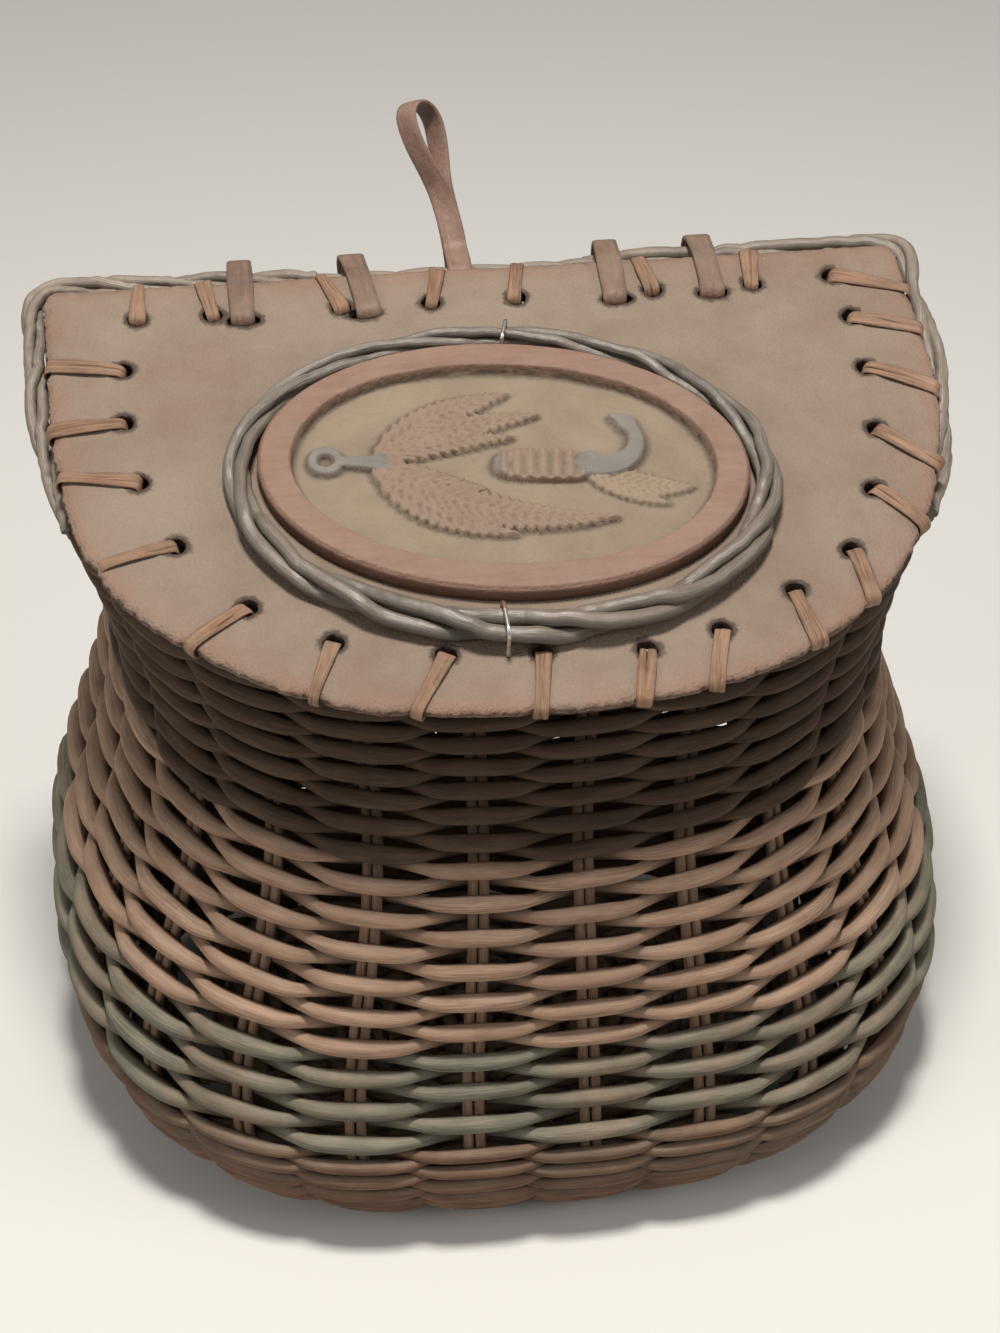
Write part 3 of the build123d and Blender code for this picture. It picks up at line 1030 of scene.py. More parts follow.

# %% [markdown]
# ## Leather, cane and wood
# The lid is thick hide: dusty grey-green in the middle, redder where hands rubbed its edge, with
# painted shade in and around each punched hole and a darker cut edge. The stitches are orange-brown bast
# that shows its fibres.

# %% Finishes of the lid
def hide_finish():
    """Thick old hide, with masks for its edge and its holes; the hole mask paints shade in the holes and
    darkens the cut edge.
    """
    made, tree, shader = new_material("hide", 0.78)
    patches = use_group(tree, mottle, Patch_scale=14.0, Speck_scale=520.0)
    edge = add_node(tree, "ShaderNodeAttribute", attribute_name="edge").outputs["Fac"]
    hole = add_node(tree, "ShaderNodeAttribute", attribute_name="hole").outputs["Fac"]
    here = add_node(tree, "ShaderNodeTexCoord").outputs["Object"]
    body = blend_colours(tree, patches["Patches"], (0.135, 0.086, 0.058), (0.17, 0.124, 0.09))
    cloud = ramp(tree, noise_at(tree, here, 22.0, 6.0, 0.6, 0.4), 0.35, 0.68)
    body = blend_colours(tree, cloud * 0.6, body, (0.2, 0.152, 0.112))
    redness = ramp(tree, edge, 0.1, 0.95) * ramp(
        tree, noise_at(tree, here, 60.0, 5.0, 0.6), 0.25, 0.6
    )
    body = blend_colours(tree, redness * 0.75, body, (0.185, 0.095, 0.062))
    scuffs = ramp(
        tree, noise_at(
            tree, vector_calc("MULTIPLY", here, (40.0, 160.0, 160.0)), 1.0, 5.0, 0.7, 1.0
        ), 0.62, 0.75
    )
    body = blend_colours(tree, scuffs * 0.35, body, (0.27, 0.19, 0.14))
    lint = use_group(tree, dust, Amount=0.34)
    body = blend_colours(tree, lint["Mask"], body, (0.255, 0.202, 0.155))
    # painted shade: near black in and around the holes, broken by noise at their torn edge; the cut
    # edge's sides take part of it
    frayed = (noise_at(tree, here, 480.0, 4.0, 0.7) - 0.5) * 1.1
    hole = ramp(tree, hole + frayed, 0.3, 0.85)
    body = blend_colours(tree, hole * 0.85, body, (0.035, 0.02, 0.014))
    tree.links.new(body, shader.inputs["Base Color"])
    grain = add_node(
        tree, "ShaderNodeTexVoronoi", {"Vector": here, "Scale": 620.0}, feature="DISTANCE_TO_EDGE"
    )
    wrinkles = noise_at(tree, here, 150.0, 5.0, 0.65, 0.5)
    relief = ramp(tree, grain.outputs["Distance"], 0.0, 0.25) * 0.35 + wrinkles
    bump(tree, shader, relief, 0.55, 0.0007)
    return made


def strip_finish(
    name, colour, dark, pale, roughness, along_scale=90.0, relief=0.0004, dust_amount=0.2
):
    """Leather or bast strips: streaked along their length."""
    made, tree, shader = new_material(name, roughness)
    fibre = use_group(tree, streaks, Along_scale=along_scale, Around_scale=2.2)
    patches = use_group(tree, mottle, Patch_scale=70.0, Speck_scale=700.0)
    body = blend_colours(tree, fibre["Streaks"], dark, colour)
    body = blend_colours(tree, patches["Patches"] * 0.5, body, pale)
    lint = use_group(tree, dust, Amount=dust_amount)
    body = blend_colours(tree, lint["Mask"], body, (0.27, 0.22, 0.17))
    tree.links.new(body, shader.inputs["Base Color"])
    height = fibre["Fibres"] + patches["Specks"] * 0.3
    bump(tree, shader, height, 0.7, relief)
    return made


hide = hide_finish()
strap_leather = strip_finish(
    "strap leather", (0.155, 0.085, 0.055), (0.07, 0.037, 0.025), (0.22, 0.14, 0.10), 0.6
)
loop_leather = strip_finish(
    "loop leather", (0.20, 0.11, 0.08), (0.11, 0.056, 0.04), (0.27, 0.165, 0.125), 0.55
)
cane = strip_finish(
    "bast stitches", (0.30, 0.15, 0.078), (0.085, 0.04, 0.022),
    (0.38, 0.235, 0.15), 0.5, 70.0, 0.0006, 0.25
)


# %% [markdown]
# ## Lid panel
# The hide is 3.5 mm thick with a rough cut edge, and it has warped a little. Its outline is the
# same D as in the frame, made uneven by noise; the holes are torn circles with a raised lip.

# %% Outline and holes of the panel
panel_back = -back_gap / MM
panel_sizes = (128.0, panel_back, 166.0, 14.0, 104.0, 4.0)
stitch_hole = 2.9
# along the margin, from the right back corner round the front to the left back corner: each
# stitch's place, how far its hole and its outer end stray along the margin, and its span
margin_stitches = (
    ("lacing_right", 0.042, -6.0, 1.5, 22.0),
    ("lacing_right", 0.078, -6.5, 0.5, 19.5),
    ("lacing_right", 0.122, -6.5, 2.5, 19.5),
    ("lacing_right", 0.178, -6.0, 4.5, 18.5),
    ("lacing_right", 0.233, -6.0, 1.5, 16.5),
    ("lacing_right", 0.289, -5.5, 5.0, 13.5),
    ("lacing_front", 0.34, -4.5, 2.0, 16.0),
    ("lacing_front", 0.4, -4.5, 4.5, 15.5),
    ("lacing_front", 0.449, -4.5, 0.5, 15.0),
    ("lacing_front", 0.51, -4.4, -2.0, 18.5),
    ("lacing_front", 0.57, -6.5, 1.0, 18.5),
    ("lacing_front", 0.635, -3.5, -4.0, 18.0),
    ("lacing_front", 0.704, -6.0, -1.5, 18.5),
    ("lacing_front", 0.779, -7.0, -1.0, 19.5),
    ("lacing_left", 0.843, -7.5, 1.5, 20.0),
    ("lacing_left", 0.89, -3.5, -4.0, 20.5),
    ("lacing_left", 0.936, -4.7, -1.0, 21.0),
)
back_stitches = (
    (-102.0, 0.0, 1.0), (-80.5, 0.5, -1.5), (-45.0, 3.0, -2.0),
    (-15.0, -0.5, 2.5), (10.0, 0.0, 2.0),
    (50.0, 1.0, -1.0), (80.0, 1.5, 3.0),
)
back_span = 14.0
strap_places = (-71.0, -35.5, 40.0, 69.0)

smooth_edge = outline(*panel_sizes, 1601)[:-1]


def noise_along(points, scale, seed):
    """Noise from -1 to 1 at each flat point."""
    return np.array([noise.noise(Vector((x * scale, y * scale, seed))) for x, y in points])


outwards = np.roll(smooth_edge, -1, 0) - np.roll(smooth_edge, 1, 0)
outwards = np.stack([-outwards[:, 1], outwards[:, 0]], -1)
outwards /= np.linalg.norm(outwards, axis=1)[:, None]
ragged = 0.9 * noise_along(smooth_edge, 0.03, 1.0) + 0.35 * noise_along(smooth_edge, 0.35, 5.0)
ragged += 0.28 * noise_along(smooth_edge, 1.1, 9.0)
# the hide bulges a little at its left shoulder
bulge = np.exp(-(((smooth_edge - [-112, -115]) / 32) ** 2).sum(1))

# the open margin runs from the right back corner clockwise; the outline starts mid-back
margin_length = np.hypot(*(np.roll(smooth_edge, -1, 0) - smooth_edge).T)
reach = np.concatenate([[0], np.cumsum(margin_length)])
back_half = panel_sizes[0] - panel_sizes[5]
open_length = reach[-1] - 2 * back_half
closed_edge = np.vstack([smooth_edge, smooth_edge[:1]])


def margin_frame(place, stray):
    """The edge's point at a place along the open margin, and the ways along it and inwards."""
    at = back_half + place * open_length + stray
    spots = [
        np.array([np.interp(where, reach, closed_edge[:, k]) for k in (0, 1)])
        for where in (at - 0.5, at, at + 0.5)
    ]
    ahead = (spots[2] - spots[0]) / np.linalg.norm(spots[2] - spots[0])
    return spots[1], ahead, np.array([ahead[1], -ahead[0]])


stitches = []
for node, place, hole_stray, end_stray, span in margin_stitches:
    hole_edge, _, inwards = margin_frame(place, hole_stray)
    end, _, _ = margin_frame(place, end_stray)
    stitches.append((node, hole_edge + inwards * span, end))
for place, hole_stray, end_stray in back_stitches:
    hole = np.array([place + hole_stray, panel_back - back_span])
    stitches.append(("lacing_back", hole, np.array([place + end_stray, panel_back])))


pinch = np.zeros(len(smooth_edge))
for node, _, end in stitches:
    if node != "lacing_back":
        pinch += 1.1 * np.exp(-(((smooth_edge - end) ** 2).sum(1)) / 3.6**2)
panel_edge = smooth_edge + outwards * (ragged + 2.2 * bulge + 0.1 - pinch)[:, None]


def torn_circle(middle, radius_x, radius_y, seed, count=20):
    """A hole with an uneven edge, wound the other way from the outline."""
    angles = np.linspace(0, 2 * pi, count, endpoint=False)[::-1]
    spots = np.stack([np.cos(angles), np.sin(angles)], -1)
    uneven = 1 + 0.16 * noise_along(spots * 1.7 + middle, 1.0, seed)
    return middle + spots * [radius_x, radius_y] * uneven[:, None]


holes = [torn_circle(hole, stitch_hole, stitch_hole, 3.0) for _, hole, _ in stitches]
slot_y = panel_back - 14.0 - 2.9
holes += [torn_circle(np.array([place, slot_y]), 4.8, 2.3, 6.0, 28) for place in strap_places]


# %% The panel as a filled sheet with a rim and holes
def inside(points, loop):
    """Which points lie inside a closed loop."""
    x, y = points[:, :1], points[:, 1:]
    ax, ay = loop.T
    bx, by = np.roll(loop, -1, 0).T
    crosses = (ay > y) != (by > y)
    with np.errstate(divide="ignore", invalid="ignore"):
        meet = ax + (y - ay) * (bx - ax) / (by - ay)
    return (crosses & (x < meet)).sum(1) % 2 == 1


def nearest(points, loop):
    """Distance from each point to the nearest of a loop's points."""
    return np.concatenate([
        np.sqrt(((part[:, None] - loop[None]) ** 2).sum(-1)).min(1) for part in np.array_split(points, 40)
    ])


grid_step = 1.9
xs = np.arange(-128, 128.1, grid_step)
ys = np.arange(panel_back - 168, panel_back + 0.1, grid_step)
grid = np.stack(np.meshgrid(xs, ys), -1).reshape(-1, 2)
grid += 0.25 * np.stack([noise_along(grid, 0.9, 2.0), noise_along(grid, 0.9, 7.0)], -1)
keep = inside(grid, panel_edge) & (nearest(grid, panel_edge) > 0.9)
for loop in holes:
    keep &= ~inside(grid, loop) & (nearest(grid, loop) > 0.6)
grid = grid[keep]

loops = [panel_edge[::2]] + holes
flat_points = [Vector(point) for point in np.vstack(loops + [grid])]
rings = []
edges = []
start = 0
for loop in loops:
    ring = list(range(start, start + len(loop)))
    rings.append(ring)
    edges += [(ring[i], ring[(i + 1) % len(ring)]) for i in range(len(ring))]
    start += len(loop)
filled = geometry.delaunay_2d_cdt(flat_points, edges, [], 0, 1e-5)
flat = np.array([tuple(point) for point in filled[0]])
origins = {old: new for new, olds in enumerate(filled[3]) for old in olds}
triangles = np.array(filled[2])
middles = flat[triangles].mean(1)
solid = inside(middles, loops[0])
for loop in holes:
    solid &= ~inside(middles, loop)
triangles = triangles[solid]
rings = [[origins[i] for i in ring] for ring in rings]

edge_distance = nearest(flat, panel_edge)
hole_distance = np.min([nearest(flat, loop) for loop in holes], axis=0)
edge_mask = np.exp(-edge_distance / 7.0)
# painted shade around each hole, fading within about 2 mm
hole_shade_mask = np.exp(-((hole_distance / 1.9) ** 2))
warp = 0.55 * noise_along(flat, 0.012, 4.0) + 0.3 * noise_along(flat, 0.05, 6.0)
warp += 0.12 * noise_along(flat, 0.22, 8.0)
rounded = np.exp(-edge_distance / 0.9)
lip = 0.55 * np.exp(-((hole_distance - 1.1) / 1.3) ** 2)
seat = 0.75 * noise_along(flat, 0.12, 12.0) * np.exp(-edge_distance / 10.0)
top = panel_top / MM + warp * 0.5 + lip - 0.6 * rounded + 0.35 * seat
bottom = lid_lift / MM + 0.15 + 0.35 * rounded + 0.12 * noise_along(flat, 0.3, 14.0)
count = len(flat)
points = [on_lid(flat, top), on_lid(flat, bottom)]
faces = [tuple(face) for face in triangles]
areas = np.cross(
    flat[triangles[:, 1]] - flat[triangles[:, 0]], flat[triangles[:, 2]] - flat[triangles[:, 0]]
)
faces = [face if area > 0 else face[::-1] for face, area in zip(faces, areas)]
faces += [tuple(index + count for index in face[::-1]) for face in faces]
masks = [edge_mask, edge_mask]
hole_shade_and_edge_masks = [hole_shade_mask, hole_shade_mask]
# walls: the fibrous cut edge and the holes' sides, with two uneven rows between top and bottom
added = 2 * count
for number, ring in enumerate(rings):
    around = flat[ring]
    ahead = np.roll(around, -1, 0) - np.roll(around, 1, 0)
    sideways = np.stack([-ahead[:, 1], ahead[:, 0]], -1) / np.linalg.norm(ahead, axis=1)[:, None]
    rows = [np.array(ring)]
    for share in (0.33, 0.68):
        push = 0.3 + 0.8 * noise_along(around, 1.1, 20.0 * share)
        placed = around + sideways * push[:, None]
        lift = top[ring] * (1 - share) + bottom[ring] * share
        points.append(on_lid(placed, lift))
        rows.append(np.arange(added, added + len(ring)))
        added += len(ring)
        masks.append(np.ones(len(ring)))
        # the cut edge's sides are darkened by 0.62 of the hole's painted shade; the holes' sides take all
        # of it
        hole_shade_and_edge_masks.append(np.full(len(ring), 0.62 if number == 0 else 1.0))
    rows.append(np.array(ring) + count)
    for upper, lower in zip(rows, rows[1:]):
        for i in range(len(ring)):
            j = (i + 1) % len(ring)
            faces.append((upper[i], upper[j], lower[j], lower[i]))
lid_panel = mesh_object("hide_panel", np.vstack(points), faces, hide)
paint_points(lid_panel, "edge", np.concatenate(masks))
paint_points(lid_panel, "hole", np.concatenate(hole_shade_and_edge_masks))
mended = bmesh.new()
mended.from_mesh(lid_panel.data)
bmesh.ops.recalc_face_normals(mended, faces=mended.faces)
mended.to_mesh(lid_panel.data)
mended.free()
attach(lid_panel, "lid")
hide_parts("lid_panel")
print("panel", len(lid_panel.data.polygons), "faces")


# %% [markdown]
# ## Strips
# Stitches, hinge straps and the hanging loop are all strips: a flat rounded section drawn along
# a path, with its width kept across the path. Each was cut by hand, so its width wavers.

# %% Sweep of a flat strip
def sweep_strip(path, across, width, thickness, closed=True, section=12, squareness=0.55):
    """A flat rounded section along a path: points, faces, lengths along it and places around."""
    path = np.asarray(path, float)
    count = len(path)
    if closed:
        ahead = np.roll(path, -1, 0) - np.roll(path, 1, 0)
    else:
        ahead = np.gradient(path, axis=0)
    ahead /= np.linalg.norm(ahead, axis=1)[:, None]
    across = np.broadcast_to(across, path.shape)
    across = across - (across * ahead).sum(1)[:, None] * ahead
    across /= np.linalg.norm(across, axis=1)[:, None]
    upwards = np.cross(ahead, across)
    angles = np.arange(section) * 2 * pi / section
    wide = np.sign(np.cos(angles)) * np.abs(np.cos(angles)) ** squareness / 2
    tall = np.sign(np.sin(angles)) * np.abs(np.sin(angles)) ** squareness / 2
    wide = np.broadcast_to(width, count)[:, None] * wide
    tall = np.broadcast_to(thickness, count)[:, None] * tall
    points = path[:, None] + across[:, None] * wide[..., None] + upwards[:, None] * tall[..., None]
    faces = []
    last = count if closed else count - 1
    for i in range(last):
        for k in range(section):
            one, two = i * section, (i + 1) % count * section
            side = (k + 1) % section
            faces.append((one + k, one + side, two + side, two + k))
    if not closed:
        faces.append(tuple(range(section))[::-1])
        faces.append(tuple(range((count - 1) * section, count * section)))
    steps = np.linalg.norm(np.diff(path, axis=0), axis=1)
    along = np.repeat(np.concatenate([[0], np.cumsum(steps)]), section)
    return points.reshape(-1, 3), faces, along, np.tile(np.arange(section) / section, count)


def strips_object(name, strips, material):
    """Several strips as one object, each with its own number."""
    points, faces, along, around, numbers = [], [], [], [], []
    start = 0
    for number, (strip_points, strip_faces, strip_along, strip_around) in enumerate(strips):
        points.append(strip_points)
        faces += [tuple(index + start for index in face) for face in strip_faces]
        along.append(strip_along)
        around.append(strip_around)
        numbers.append(np.full(len(strip_points), float(number)))
        start += len(strip_points)
    made = mesh_object(name, np.vstack(points), faces, material)
    paint_points(made, "along", np.concatenate(along))
    paint_points(made, "around", np.concatenate(around))
    paint_points(made, "rod", np.concatenate(numbers))
    return made


def even_steps(points, count, closed=True):
    """The same line with its points at equal steps."""
    points = np.asarray(points, float)
    if closed:
        points = np.vstack([points, points[:1]])
    reach = np.concatenate([[0], np.cumsum(np.linalg.norm(np.diff(points, axis=0), axis=1))])
    places = np.linspace(0, reach[-1], count, endpoint=not closed)
    return np.stack([np.interp(places, reach, column) for column in points.T], -1)


def rounded_by(points, times):
    """Soften a closed line's corners."""
    for _ in range(times):
        points = (np.roll(points, 1, 0) + 2 * points + np.roll(points, -1, 0)) / 4
    return points


# %% Stitches: two or three strands of bast in each
random = np.random.default_rng(11)
stitch_lift = panel_top / MM + 0.65
stitch_drop = lid_lift / MM - 0.65
# strands and their width for odd and even stitches
strand_kinds = {
    "lacing_back": ((2, 2.8), (2, 2.4)),
    "lacing_right": ((2, 3.0), (1, 4.8)),
    "lacing_front": ((3, 2.0), (2, 2.7)),
    "lacing_left": ((2, 2.8), (3, 2.0)),
}
lacing = {}
for node, hole, end in stitches:
    way = end - hole
    run = np.linalg.norm(way)
    way = way / run
    aside = np.array([-way[1], way[0]])
    # hole, over the top, round the edge, back underneath
    profile = np.array([
        (-0.2, stitch_drop), (-0.9, (stitch_lift + stitch_drop) / 2), (0.2, stitch_lift),
        (run * 0.3, stitch_lift + 0.35), (run * 0.7, stitch_lift + 0.3),
        (run + 0.3, stitch_lift - 0.2),
        (run + 1.15, (stitch_lift + stitch_drop) / 2), (run + 0.3, stitch_drop),
        (run * 0.5, stitch_drop),
    ])
    profile = rounded_by(even_steps(profile, 60), 2)
    strands, strand_width = strand_kinds[node][len(lacing.get(node, ())) % 2]
    for strand in range(strands):
        phase = random.uniform(0, 2 * pi)
        share = np.linspace(0, 2 * pi, len(profile), endpoint=False)
        spread = (strand - (strands - 1) / 2) * (strand_width - 0.5)
        shift = spread * (0.75 + 0.35 * np.cos(share + phase)) + random.uniform(-0.2, 0.2)
        lift = profile[:, 1] + 0.22 * np.sin(2 * share + phase) * (
            profile[:, 1] > stitch_drop + 0.5
        )
        flat_path = hole + way * profile[:, :1] + aside * shift[:, None]
        path = on_lid(flat_path, lift)
        width = strand_width * random.uniform(0.85, 1.15) * (1 + 0.22 * np.sin(share + phase)) * MM
        across = on_lid(np.array([aside, [0, 0]]), 0)
        strip = sweep_strip(path, across[0] - across[1], width, 0.8 * MM, section=8, squareness=0.8)
        lacing.setdefault(node, []).append(strip)
for node, strips in lacing.items():
    made = strips_object(node.replace("lacing", "bast"), strips, cane)
    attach(made, "lid")
    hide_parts(node)

# %% Hinge straps: leather closed round the rim and through the panel
strap_width = 7.5
strap_thickness = 1.6


def hull_path(rounds, count):
    """A closed line pulled tight round some circles (x, y, radius)."""
    angles = np.linspace(0, 2 * pi, 72, endpoint=False)
    spots = np.vstack([
        np.stack([x + radius * np.cos(angles), y + radius * np.sin(angles)], -1) for x,
        y, radius in rounds
    ])
    order = geometry.convex_hull_2d([Vector(spot) for spot in spots])
    return even_steps(spots[order], count)


strap_rounds = ((1.2, 1.0, 6.3), (panel_back, panel_top / MM, 1.0), (panel_back - 14.0, 6.85, 2.9))
strap_slants = (0.0, -0.12, 0.05, 0.02)
for number, (place, slant) in enumerate(zip(strap_places, strap_slants), start=1):
    profile = hull_path(strap_rounds, 120)
    share = np.linspace(0, 2 * pi, 120, endpoint=False)
    x = place + slant * (profile[:, 0] + 8) + 0.25 * np.sin(share + number)
    path = on_lid(np.stack([x, profile[:, 0]], -1), profile[:, 1])
    width = strap_width * (1 + 0.05 * np.sin(2 * share + 3 * number)) * MM
    strap = strips_object(
        f"leather_hinge_{number}",
        [sweep_strip(path, (1, 0, 0), width, strap_thickness * MM, section=16, squareness=0.45)],
        strap_leather,
    )
    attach(strap, "lid")
    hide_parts(f"hinge_strap_{number}")

# %% Hanging loop: one strip folded round the rim, twisted so that its eye faces the front
loop_x = -4.5
loop_lean = radians(34)
stem_offset = 5.2
throat, eye_foot, eye_middle = 11.0, 21.0, 47.5
ply, eye_radius, hoop_round = 0.9, 6.6, 4.7
loop_twist = radians(44)
loop_tip_shift = -9.0


def eased(value, low, high):
    """0 below low, 1 above high, smooth between."""
    share = np.clip((np.asarray(value, float) - low) / (high - low), 0, 1)
    return share * share * (3 - 2 * share)


def loop_half(height):
    """Half the gap between the plies' middles at a height above the rim."""
    at_rim = hoop_round + (ply - hoop_round) * eased(height, 0, throat)
    return at_rim + (eye_radius - ply) * eased(height, eye_foot, eye_middle)


heights = np.linspace(0, eye_middle, 60)
stem = stem_offset * eased(heights, 0, throat)
top_turn = np.linspace(0, pi, 16)[1:-1]
low_turn = np.linspace(pi, 2 * pi, 14)[1:-1]
loop_flat = np.vstack([
    np.stack([stem + loop_half(heights), heights], -1),
    np.stack(
        [
            stem_offset + eye_radius * np.cos(top_turn), eye_middle + eye_radius * np.sin(top_turn)
        ], -1
    ),
    np.stack([stem - loop_half(heights), heights], -1)[::-1],
    np.stack([hoop_round * np.cos(low_turn), hoop_round * np.sin(low_turn)], -1),
])
loop_flat = rounded_by(even_steps(loop_flat, 200), 3)
twist = loop_twist * eased(loop_flat[:, 1], throat, eye_middle - 6)
bow = loop_tip_shift * eased(loop_flat[:, 1], 4, eye_middle + 12)
from_stem = loop_flat[:, 0] - stem_offset * eased(loop_flat[:, 1], 0, throat)
aside = from_stem * np.sin(twist) + bow
back_off = from_stem * np.cos(twist) + stem_offset * eased(loop_flat[:, 1], 0, throat)
loop_path = np.stack([
    loop_x + aside,
    hinge_y / MM + back_off * cos(loop_lean) + loop_flat[:, 1] * sin(loop_lean),
    hinge_height / MM - back_off * sin(loop_lean) + loop_flat[:, 1] * cos(loop_lean),
], -1) * MM
loop_across = np.stack(
    [np.cos(twist), -np.sin(twist) * cos(loop_lean), np.sin(twist) * sin(loop_lean)], -1
)
hanging_loop = strips_object(
    "leather_loop",
    [sweep_strip(loop_path, loop_across, 7.4 * MM, 1.4 * MM, section=14, squareness=0.45)],
    loop_leather,
)
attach(hanging_loop, "loop")
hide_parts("hanging_loop")

# %% [markdown]
# ## Medallion
# An oval board carved by hand: a raised border round a sunk floor, and a fishing fly standing on
# the floor. It is a height field: each shape gives its height at every point, and the highest
# wins. The same shapes give masks for the paint: grey for metal, brown and tan for feathers, and
# painted shade in the hollows beside raised parts.

# %% Shapes of the fly
def between(points, start, end):
    """Place along a line (0 to 1, not clipped), distance aside and the line's length."""
    start, end = np.array(start), np.array(end)
    way = end - start
    length = np.hypot(*way)
    way = way / length
    offset = points - start
    return offset @ way / length, offset @ np.array([-way[1], way[0]]), length


def feather(points, root, tip, fullness, bend, barb=3.3):
    """A feather's height share and its barbs: a curved leaf with a notched edge and a rib."""
    share, aside, length = between(points, root, tip)
    kept = np.clip(share, 0, 1)
    aside = aside - bend * 4 * kept * (1 - kept)
    leaf = fullness * np.sin(pi * kept**0.75) ** 0.8
    stroke = (share * length - np.abs(aside) * 1.1) / barb
    notch = 1 - 0.28 * (stroke % 1.0)
    reach = leaf * notch - np.abs(aside)
    solid = eased(reach, -0.35, 0.5) * (share > 0) * (share < 1)
    groove = 0.5 + 0.5 * np.cos(2 * pi * stroke)
    rib = np.exp(-((aside / 0.55) ** 2))
    return solid, groove, rib


def arc_through(points, spots, count=60):
    """Distance to an arc through three spots and the place along it."""
    (ax, ay), (bx, by), (cx, cy) = spots
    turn = 2 * (ax * (by - cy) + bx * (cy - ay) + cx * (ay - by))
    squares = [x * x + y * y for x, y in spots]
    mx = (squares[0] * (by - cy) + squares[1] * (cy - ay) + squares[2] * (ay - by)) / turn
    my = (squares[0] * (cx - bx) + squares[1] * (ax - cx) + squares[2] * (bx - ax)) / turn
    angles = np.unwrap([np.arctan2(y - my, x - mx) for x, y in spots])
    radius = np.hypot(ax - mx, ay - my)
    turns = np.linspace(angles[0], angles[2], count)
    arc = np.stack([mx + radius * np.cos(turns), my + radius * np.sin(turns)], -1)
    gaps = np.stack([np.hypot(*(points - spot).T) for spot in arc], -1)
    return gaps.min(1), gaps.argmin(1) / (count - 1)


medallion_middle = np.array([-2.5, panel_back - 83.0])
medallion_turn = radians(-7)
half_length, half_depth = 69.0, 46.5
floor_rise, border_rise, border_width = 1.7, 3.8, 9.5
hackle_root = (-37.0, 0.0)
# each feather: root, tip, fullness, bend
hackles = (
    (hackle_root, (2.0, 28.0), 6.4, 4.5),
    (hackle_root, (11.0, 20.0), 5.4, 3.4),
    (hackle_root, (4.0, 11.0), 4.6, 2.4),
    (hackle_root, (33.0, -17.5), 7.0, -8.0),
    (hackle_root, (5.0, -25.0), 6.0, -5.5),
    (hackle_root, (-4.0, -9.0), 5.0, -1.5),
)
tails = (((23.0, -1.0), (54.0, -5.5), 5.6, -2.2), ((22.0, 0.0), (47.0, -12.5), 4.0, -1.0))
fly_eye = np.array([-50.0, 0.0])
fly_body = np.array([11.0, 1.0])
hook_spots = ((24.0, 2.0), (37.0, 8.0), (31.0, 20.0))

# %% Height field of the medallion
across_count, radial_count = 540, 118
angles = np.linspace(0, 2 * pi, across_count, endpoint=False)
shares = np.concatenate([np.linspace(0.01, 0.8, 84), np.linspace(0.805, 1.0, radial_count - 84)])
board_reach = np.hypot(half_length * np.cos(angles), half_depth * np.sin(angles))
round_places = np.stack([half_length * np.cos(angles), half_depth * np.sin(angles)], -1)
spots = (shares[:, None, None] * round_places).reshape(-1, 2)
from_edge = ((1 - shares[:, None]) * board_reach).ravel()
carved = 0.5 * noise_along(spots, 0.07, 3.0) + 0.5 * noise_along(spots, 0.3, 5.0)
tooled = noise_along(spots, 0.75, 8.0)
border_mask = 1 - eased(from_edge + 0.5 * carved, border_width - 0.5, border_width + 0.7)
ground = floor_rise + 0.14 * tooled + 0.1 * carved
relief = np.zeros(len(spots))
feather_mask = np.zeros(len(spots))
tail_mask = np.zeros(len(spots))
metal_mask = np.zeros(len(spots))
for number, (root, tip, fullness, bend) in enumerate(hackles):
    solid, groove, rib = feather(spots, root, tip, fullness, bend)
    raised = solid * (1.35 + 0.12 * number % 0.4 + 0.55 * groove + 0.35 * rib)
    relief = np.maximum(relief, raised)
    feather_mask = np.maximum(feather_mask, solid * (0.45 + 0.55 * groove))
for root, tip, fullness, bend in tails:
    solid, groove, rib = feather(spots, root, tip, fullness, bend, 2.6)
    relief = np.maximum(relief, solid * (1.1 + 0.5 * groove + 0.3 * rib))
    tail_mask = np.maximum(tail_mask, solid * (0.5 + 0.5 * groove))
eye_gap = np.abs(np.hypot(*(spots - fly_eye).T) - 3.7)
eye = eased(1.6 - eye_gap, -0.3, 0.5)
neck_place, neck_aside, _ = between(spots, (-46.0, 0.0), (-34.0, 0.0))
neck_half = 1.7 + 1.3 * np.clip(neck_place, 0, 1)
neck = eased(neck_half - np.abs(neck_aside), -0.3, 0.5) * (neck_place > 0) * (neck_place < 1.1)
in_body = np.abs((spots - fly_body) / [14.5, 5.9])
body_share = eased(1.0 - (in_body**3.2).sum(1), -0.05, 0.28)
ribs = 0.5 + 0.5 * np.cos((spots[:, 0] - fly_body[0]) * 2 * pi / 3.7)
hook_gap, hook_place = arc_through(spots, hook_spots)
hook_half = 4.3 - 2.9 * hook_place + 1.3 * np.exp(-(((hook_place - 0.86) / 0.08) ** 2))
hook = eased(hook_half - hook_gap, -0.3, 0.5)
for solid, rise in ((eye, 2.2), (neck, 2.1), (hook, 2.2)):
    relief = np.maximum(relief, solid * rise)
relief = np.maximum(relief, body_share * (1.8 + 0.85 * ribs))
body_metal = body_share * eased(np.abs(spots[:, 0] - fly_body[0]), 11.0, 12.0)
metal_mask = np.max([eye, neck, hook, body_metal], axis=0)
feather_mask = np.maximum(feather_mask, body_share * (0.55 + 0.45 * ribs)) * (1 - metal_mask)
tail_mask *= 1 - metal_mask
border_top = floor_rise + border_rise + 0.12 * carved + 0.08 * tooled
board = ground + (border_top - ground) * border_mask + relief * (1 - border_mask)
board -= 1.1 * (1 - eased(from_edge, 0, 1.5)) ** 2
rows = [board.reshape(radial_count, across_count)]
flat_rows = spots.reshape(radial_count, across_count, 2)
